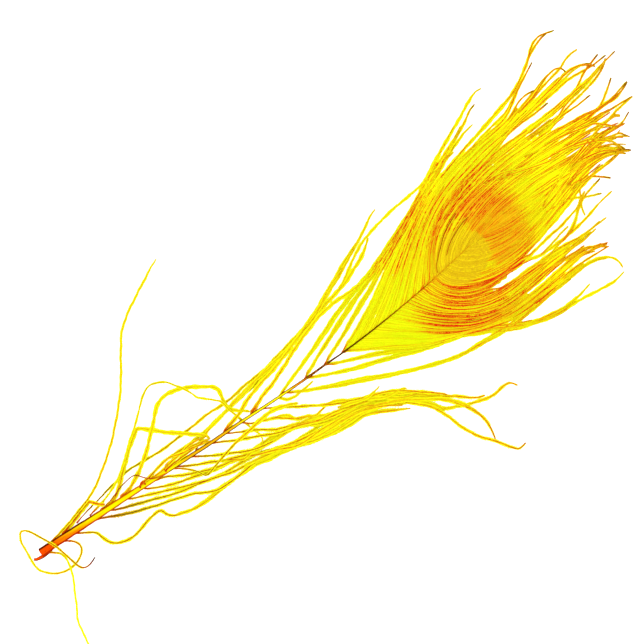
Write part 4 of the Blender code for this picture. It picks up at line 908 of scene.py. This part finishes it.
LOWER_BUNDLE = [
    [(12, -1), (15, -2.9), (18, -4.9), (18.8, -7), (19.5, -9.5), (20.6, -11.2), (22.5, -12.7), (26, -13.7),
     (30, -13.5), (35, -12.2), (40, -12), (41.3, -15), (42.5, -16), (46, -17.2), (49, -18.2), (52, -18.7),
     (58, -18.8), (62, -18.4), (67, -18.4), (75, -17.9), (80, -19.1), (84, -20), (88, -21.3), (92, -22.9),
     (96, -24), (100, -24.6), (104, -25.3), (108, -26), (112, -26.5), (116, -28), (120, -30.2), (124, -32.4),
     (127.5, -34.4)],
    [(20, -1.4), (25, -3.6), (30, -6.2), (36, -8.5), (40, -10), (44, -11.3), (48, -12.7), (52, -14.2),
     (55, -15.9), (58, -17.6), (62, -18.3), (68, -18.4), (74, -18), (80, -19), (85, -20.2), (90, -21.5),
     (98, -23.3), (106, -24.7), (114, -26.2), (121, -28.6), (127, -31.8), (132, -36.6), (134.5, -40.3),
     (136.2, -45), (137.5, -49.4), (139.4, -53.8), (141.9, -57.5), (144.4, -60.6), (146.3, -63.8),
     (148.1, -66.3), (150, -67), (151.6, -66.4)],
    [(26, -2), (32, -4.6), (38, -6.9), (45, -9.7), (50, -11.3), (54, -12.1), (58, -13.1), (62, -14.3),
     (66, -15.7), (70, -16.6), (74, -17.2), (79, -18.3), (84, -19.6), (90, -20.8), (96, -21.8), (104, -22.9),
     (112, -24.6), (119, -26.6), (125, -29.2), (128, -30.8), (132.5, -34.2), (135.2, -36.2), (138, -38.6),
     (139.6, -40.2), (141.2, -42.6), (143.1, -45.6), (144.4, -48.8), (145.2, -52.5), (145, -55.6),
     (144.1, -59.4)],
    [(33, -2.4), (40, -5.5), (44, -7.2), (48, -9), (52, -10.7), (56, -12.2), (60, -13.6), (64, -14.5),
     (69, -15.1), (74, -15.7), (79, -16.9), (84, -18.7), (88, -20.1), (94, -20.7), (100, -21), (106, -21.9),
     (114, -23.8), (121, -26.6), (127, -30.4), (132, -35.6), (136.3, -41.2), (138.8, -42.5), (141.9, -44),
     (145, -45.3), (148.8, -46.6), (152.5, -47.3), (155, -47.2), (158.1, -46.6), (159.4, -47.5),
     (160.8, -49.5)],
    [(40, -3), (44, -5.3), (48, -7.2), (52, -8.7), (56, -9.9), (60, -11.4), (64, -12.3), (68, -13.1),
     (72, -14), (76, -14.7), (80, -15.2), (85, -15.9), (89, -15.8), (93, -16.7), (97, -18.2), (101, -19.9),
     (106, -20.9), (112, -22.4), (118, -24.2), (123, -26.2), (127, -28.2), (131, -31), (134, -33.6),
     (138, -37.2), (141.3, -39.4), (143.8, -41.6), (146.3, -43.8), (148.8, -45.3), (150.1, -45.6)],
    [(44, -2.9), (48, -4.1), (51, -5.8), (54, -7.6), (58, -9.3), (62, -11), (66, -12.3), (70, -13.4),
     (74, -14.9), (78, -16.7), (82, -18.2), (86, -19.4), (92, -20.9), (98, -22), (104, -23.4), (112, -25),
     (120, -28), (126, -32)],
    [(53, -3.6), (56, -5.4), (60, -7.5), (64, -9.5), (67, -11.3), (70, -12.6), (74, -14.2), (78, -15),
     (82, -15.6), (87, -15.4), (91, -15.7)],
    [(59, -3.8), (62, -5.7), (65, -7.7), (68, -9.4), (71, -11), (74, -12.9), (77, -14.3), (81, -15.4),
     (86, -16.1), (91, -16.3), (96, -17.9), (100, -19.7), (104, -21.2), (110, -23), (118, -25), (124, -27.6),
     (130, -32)],
    [(67, -4.4), (71, -6.3), (73.5, -7.9), (77, -9.7), (81, -11.6), (85, -13.6), (88, -14.9), (91, -15.8),
     (94, -16.7), (98, -18.5), (102, -20.3), (107, -21.5), (114, -22.9), (121, -24.6), (126, -27.2),
     (131, -30), (134, -32.3), (137, -35), (140, -38)],
    [(73, -4.7), (77, -6.9), (81, -9), (84, -11), (87, -13.2), (91, -14.8), (95, -16.5), (98, -18),
     (102, -19.9), (108, -21), (115, -22.8), (121, -24.9), (127, -28.6)],
    [(79.5, -4.8), (82, -6.8), (86, -8.7), (89, -10), (92, -12.2), (95, -14.4), (98, -15.9), (100.6, -17.5),
     (102.5, -17.3), (105, -16.9)],
    [(88, -5.2), (91, -7), (94, -9), (98, -11.9), (102, -14.5), (106, -16.9), (110, -19.1), (114, -20.8),
     (118, -22.6), (122, -24.2), (126, -26.2), (129, -28.2), (132, -30.5), (134, -32.6)],
    [(108, -19.6), (113, -21.4), (118, -22.9), (121, -22.7), (123.6, -22.1)],
]
loop_shades = (0.6, 0.4, 0.4, 0.1, 0.1, 0.2, 0.7, 0.4, 0.5, 0.9)
loop = loose_barbs(LOWER_LOOSE[:1], web=0.4, fringe=0.9, thin=0.2, brown=loop_shades)
crossing_shades = (0.6, 0.7, 0.4, 0.1, 0.1)
crossing = loose_barbs(LOWER_LOOSE[1:2], root=54.0, width=0.3, web=0.9, fringe=1.2, brown=crossing_shades)
grow("lower_loose_barbs", loop + crossing + loose_barbs(LOWER_LOOSE[2:], brown=0.06), barb_look)
clinging = dict(root=10.0, web=0.62, fringe=1.3, ink=1.0, brown=(0.8, 0.6, 0.45, 0.4, 0.32, 0.15, 0.36))
bundle = loose_barbs(LOWER_BUNDLE[:12], BUNDLE_STEP_UP, 1, 1.0, 0.3, **clinging)
bundle += loose_barbs(LOWER_BUNDLE[12:], BUNDLE_STEP_UP, brown=0.06)
grow("lower_bundle", bundle, barb_look)

# Long strays. Two barbs with a thin fringe that grew from the quill like the others and spring far
# away from it, one up and one down.

STRAYS = [
    [(3, 0.9, 1.3), (10, 2.2, 1.8), (15, 3.3, 2.3), (20, 4.5, 2.8), (25, 6, 3.2), (30, 8.7, 3.7),
     (35, 12, 4.2), (40, 15.7, 4.7), (45, 20, 5.1), (50, 24.8, 5.4), (55, 30.5, 5.5), (60, 37, 5.4),
     (65, 43.3, 5), (70, 47, 4.4), (75, 49.8, 3.7), (80, 52.3, 2.9), (85, 54.7, 2.1), (89, 56.4, 1.4)],
    [(1, -0.8, 1), (4, -3, 1), (5, -4.6, 0.9), (5, -7, 0.8), (4, -11, 1), (2, -15, 1.4), (0, -18.8, 1.7),
     (-2, -22, 1.9), (-4, -25.4, 2), (-5, -29, 1.8), (-5.8, -33.5, 1.4), (-6.6, -38.6, 0.7)],
]
strays = loose_barbs(STRAYS[:1], web=0.5, fringe=0.8, ink=0.6, brown=(0.6, 0.2, 0.1, 0.05))
strays += loose_barbs(STRAYS[1:], web=0.4, fringe=0.6, ink=0.1, brown=(0.4, 0.0, 0.0))
grow("long_strays", strays, barb_look)

# Setting. A pale surface that glows a little, so that it shows white, a soft lamp in a white room,
# and the camera that looks straight down, turned as the feather lies in the photo.

SURFACE_SIZE = 3
FEATHER_TURN = 36.5

bpy.ops.mesh.primitive_plane_add(size=SURFACE_SIZE, location=(0, 0, 0))
floor = bpy.context.object
floor.name = "floor"
material, shader, _ = new_material("pale_surface", 0.9, 0.1)
shader.inputs["Base Color"].default_value = (0.7, 0.7, 0.7, 1)
shader.inputs["Emission Color"].default_value = (1, 1, 1, 1)
shader.inputs["Emission Strength"].default_value = 0.75
floor.data.materials.append(material)

world = bpy.data.worlds.new("soft_room")
bpy.context.scene.world = world
world.use_nodes = True
room = world.node_tree.nodes["Background"]
room.inputs["Color"].default_value = (1, 1, 1, 1)
room.inputs["Strength"].default_value = 1.05

lamp = bpy.data.lights.new("soft_box", "AREA")
lamp.shape = "SQUARE"
lamp.size = 1.4
lamp.energy = 11.5
lamp_object = bpy.data.objects.new("soft_box", lamp)
lamp_object.location = (-0.08, 0.1, 1.1)
lamp_object.rotation_euler = (math.radians(-5), math.radians(-4), 0)
bpy.context.scene.collection.objects.link(lamp_object)

camera_data = bpy.data.cameras.new("camera")
camera_data.sensor_width = 36
camera_data.lens = camera_data.sensor_width * LENS_TO_SENSOR
camera = bpy.data.objects.new("camera", camera_data)
camera.location = (*(CAMERA_FOOT + (QUILL_END_X, QUILL_END_Y)) * MM, CAMERA_HEIGHT * MM)
camera.rotation_euler = (0, 0, math.radians(-FEATHER_TURN))
bpy.context.scene.collection.objects.link(camera)
bpy.context.scene.camera = camera
bpy.context.scene.view_settings.view_transform = "Standard"
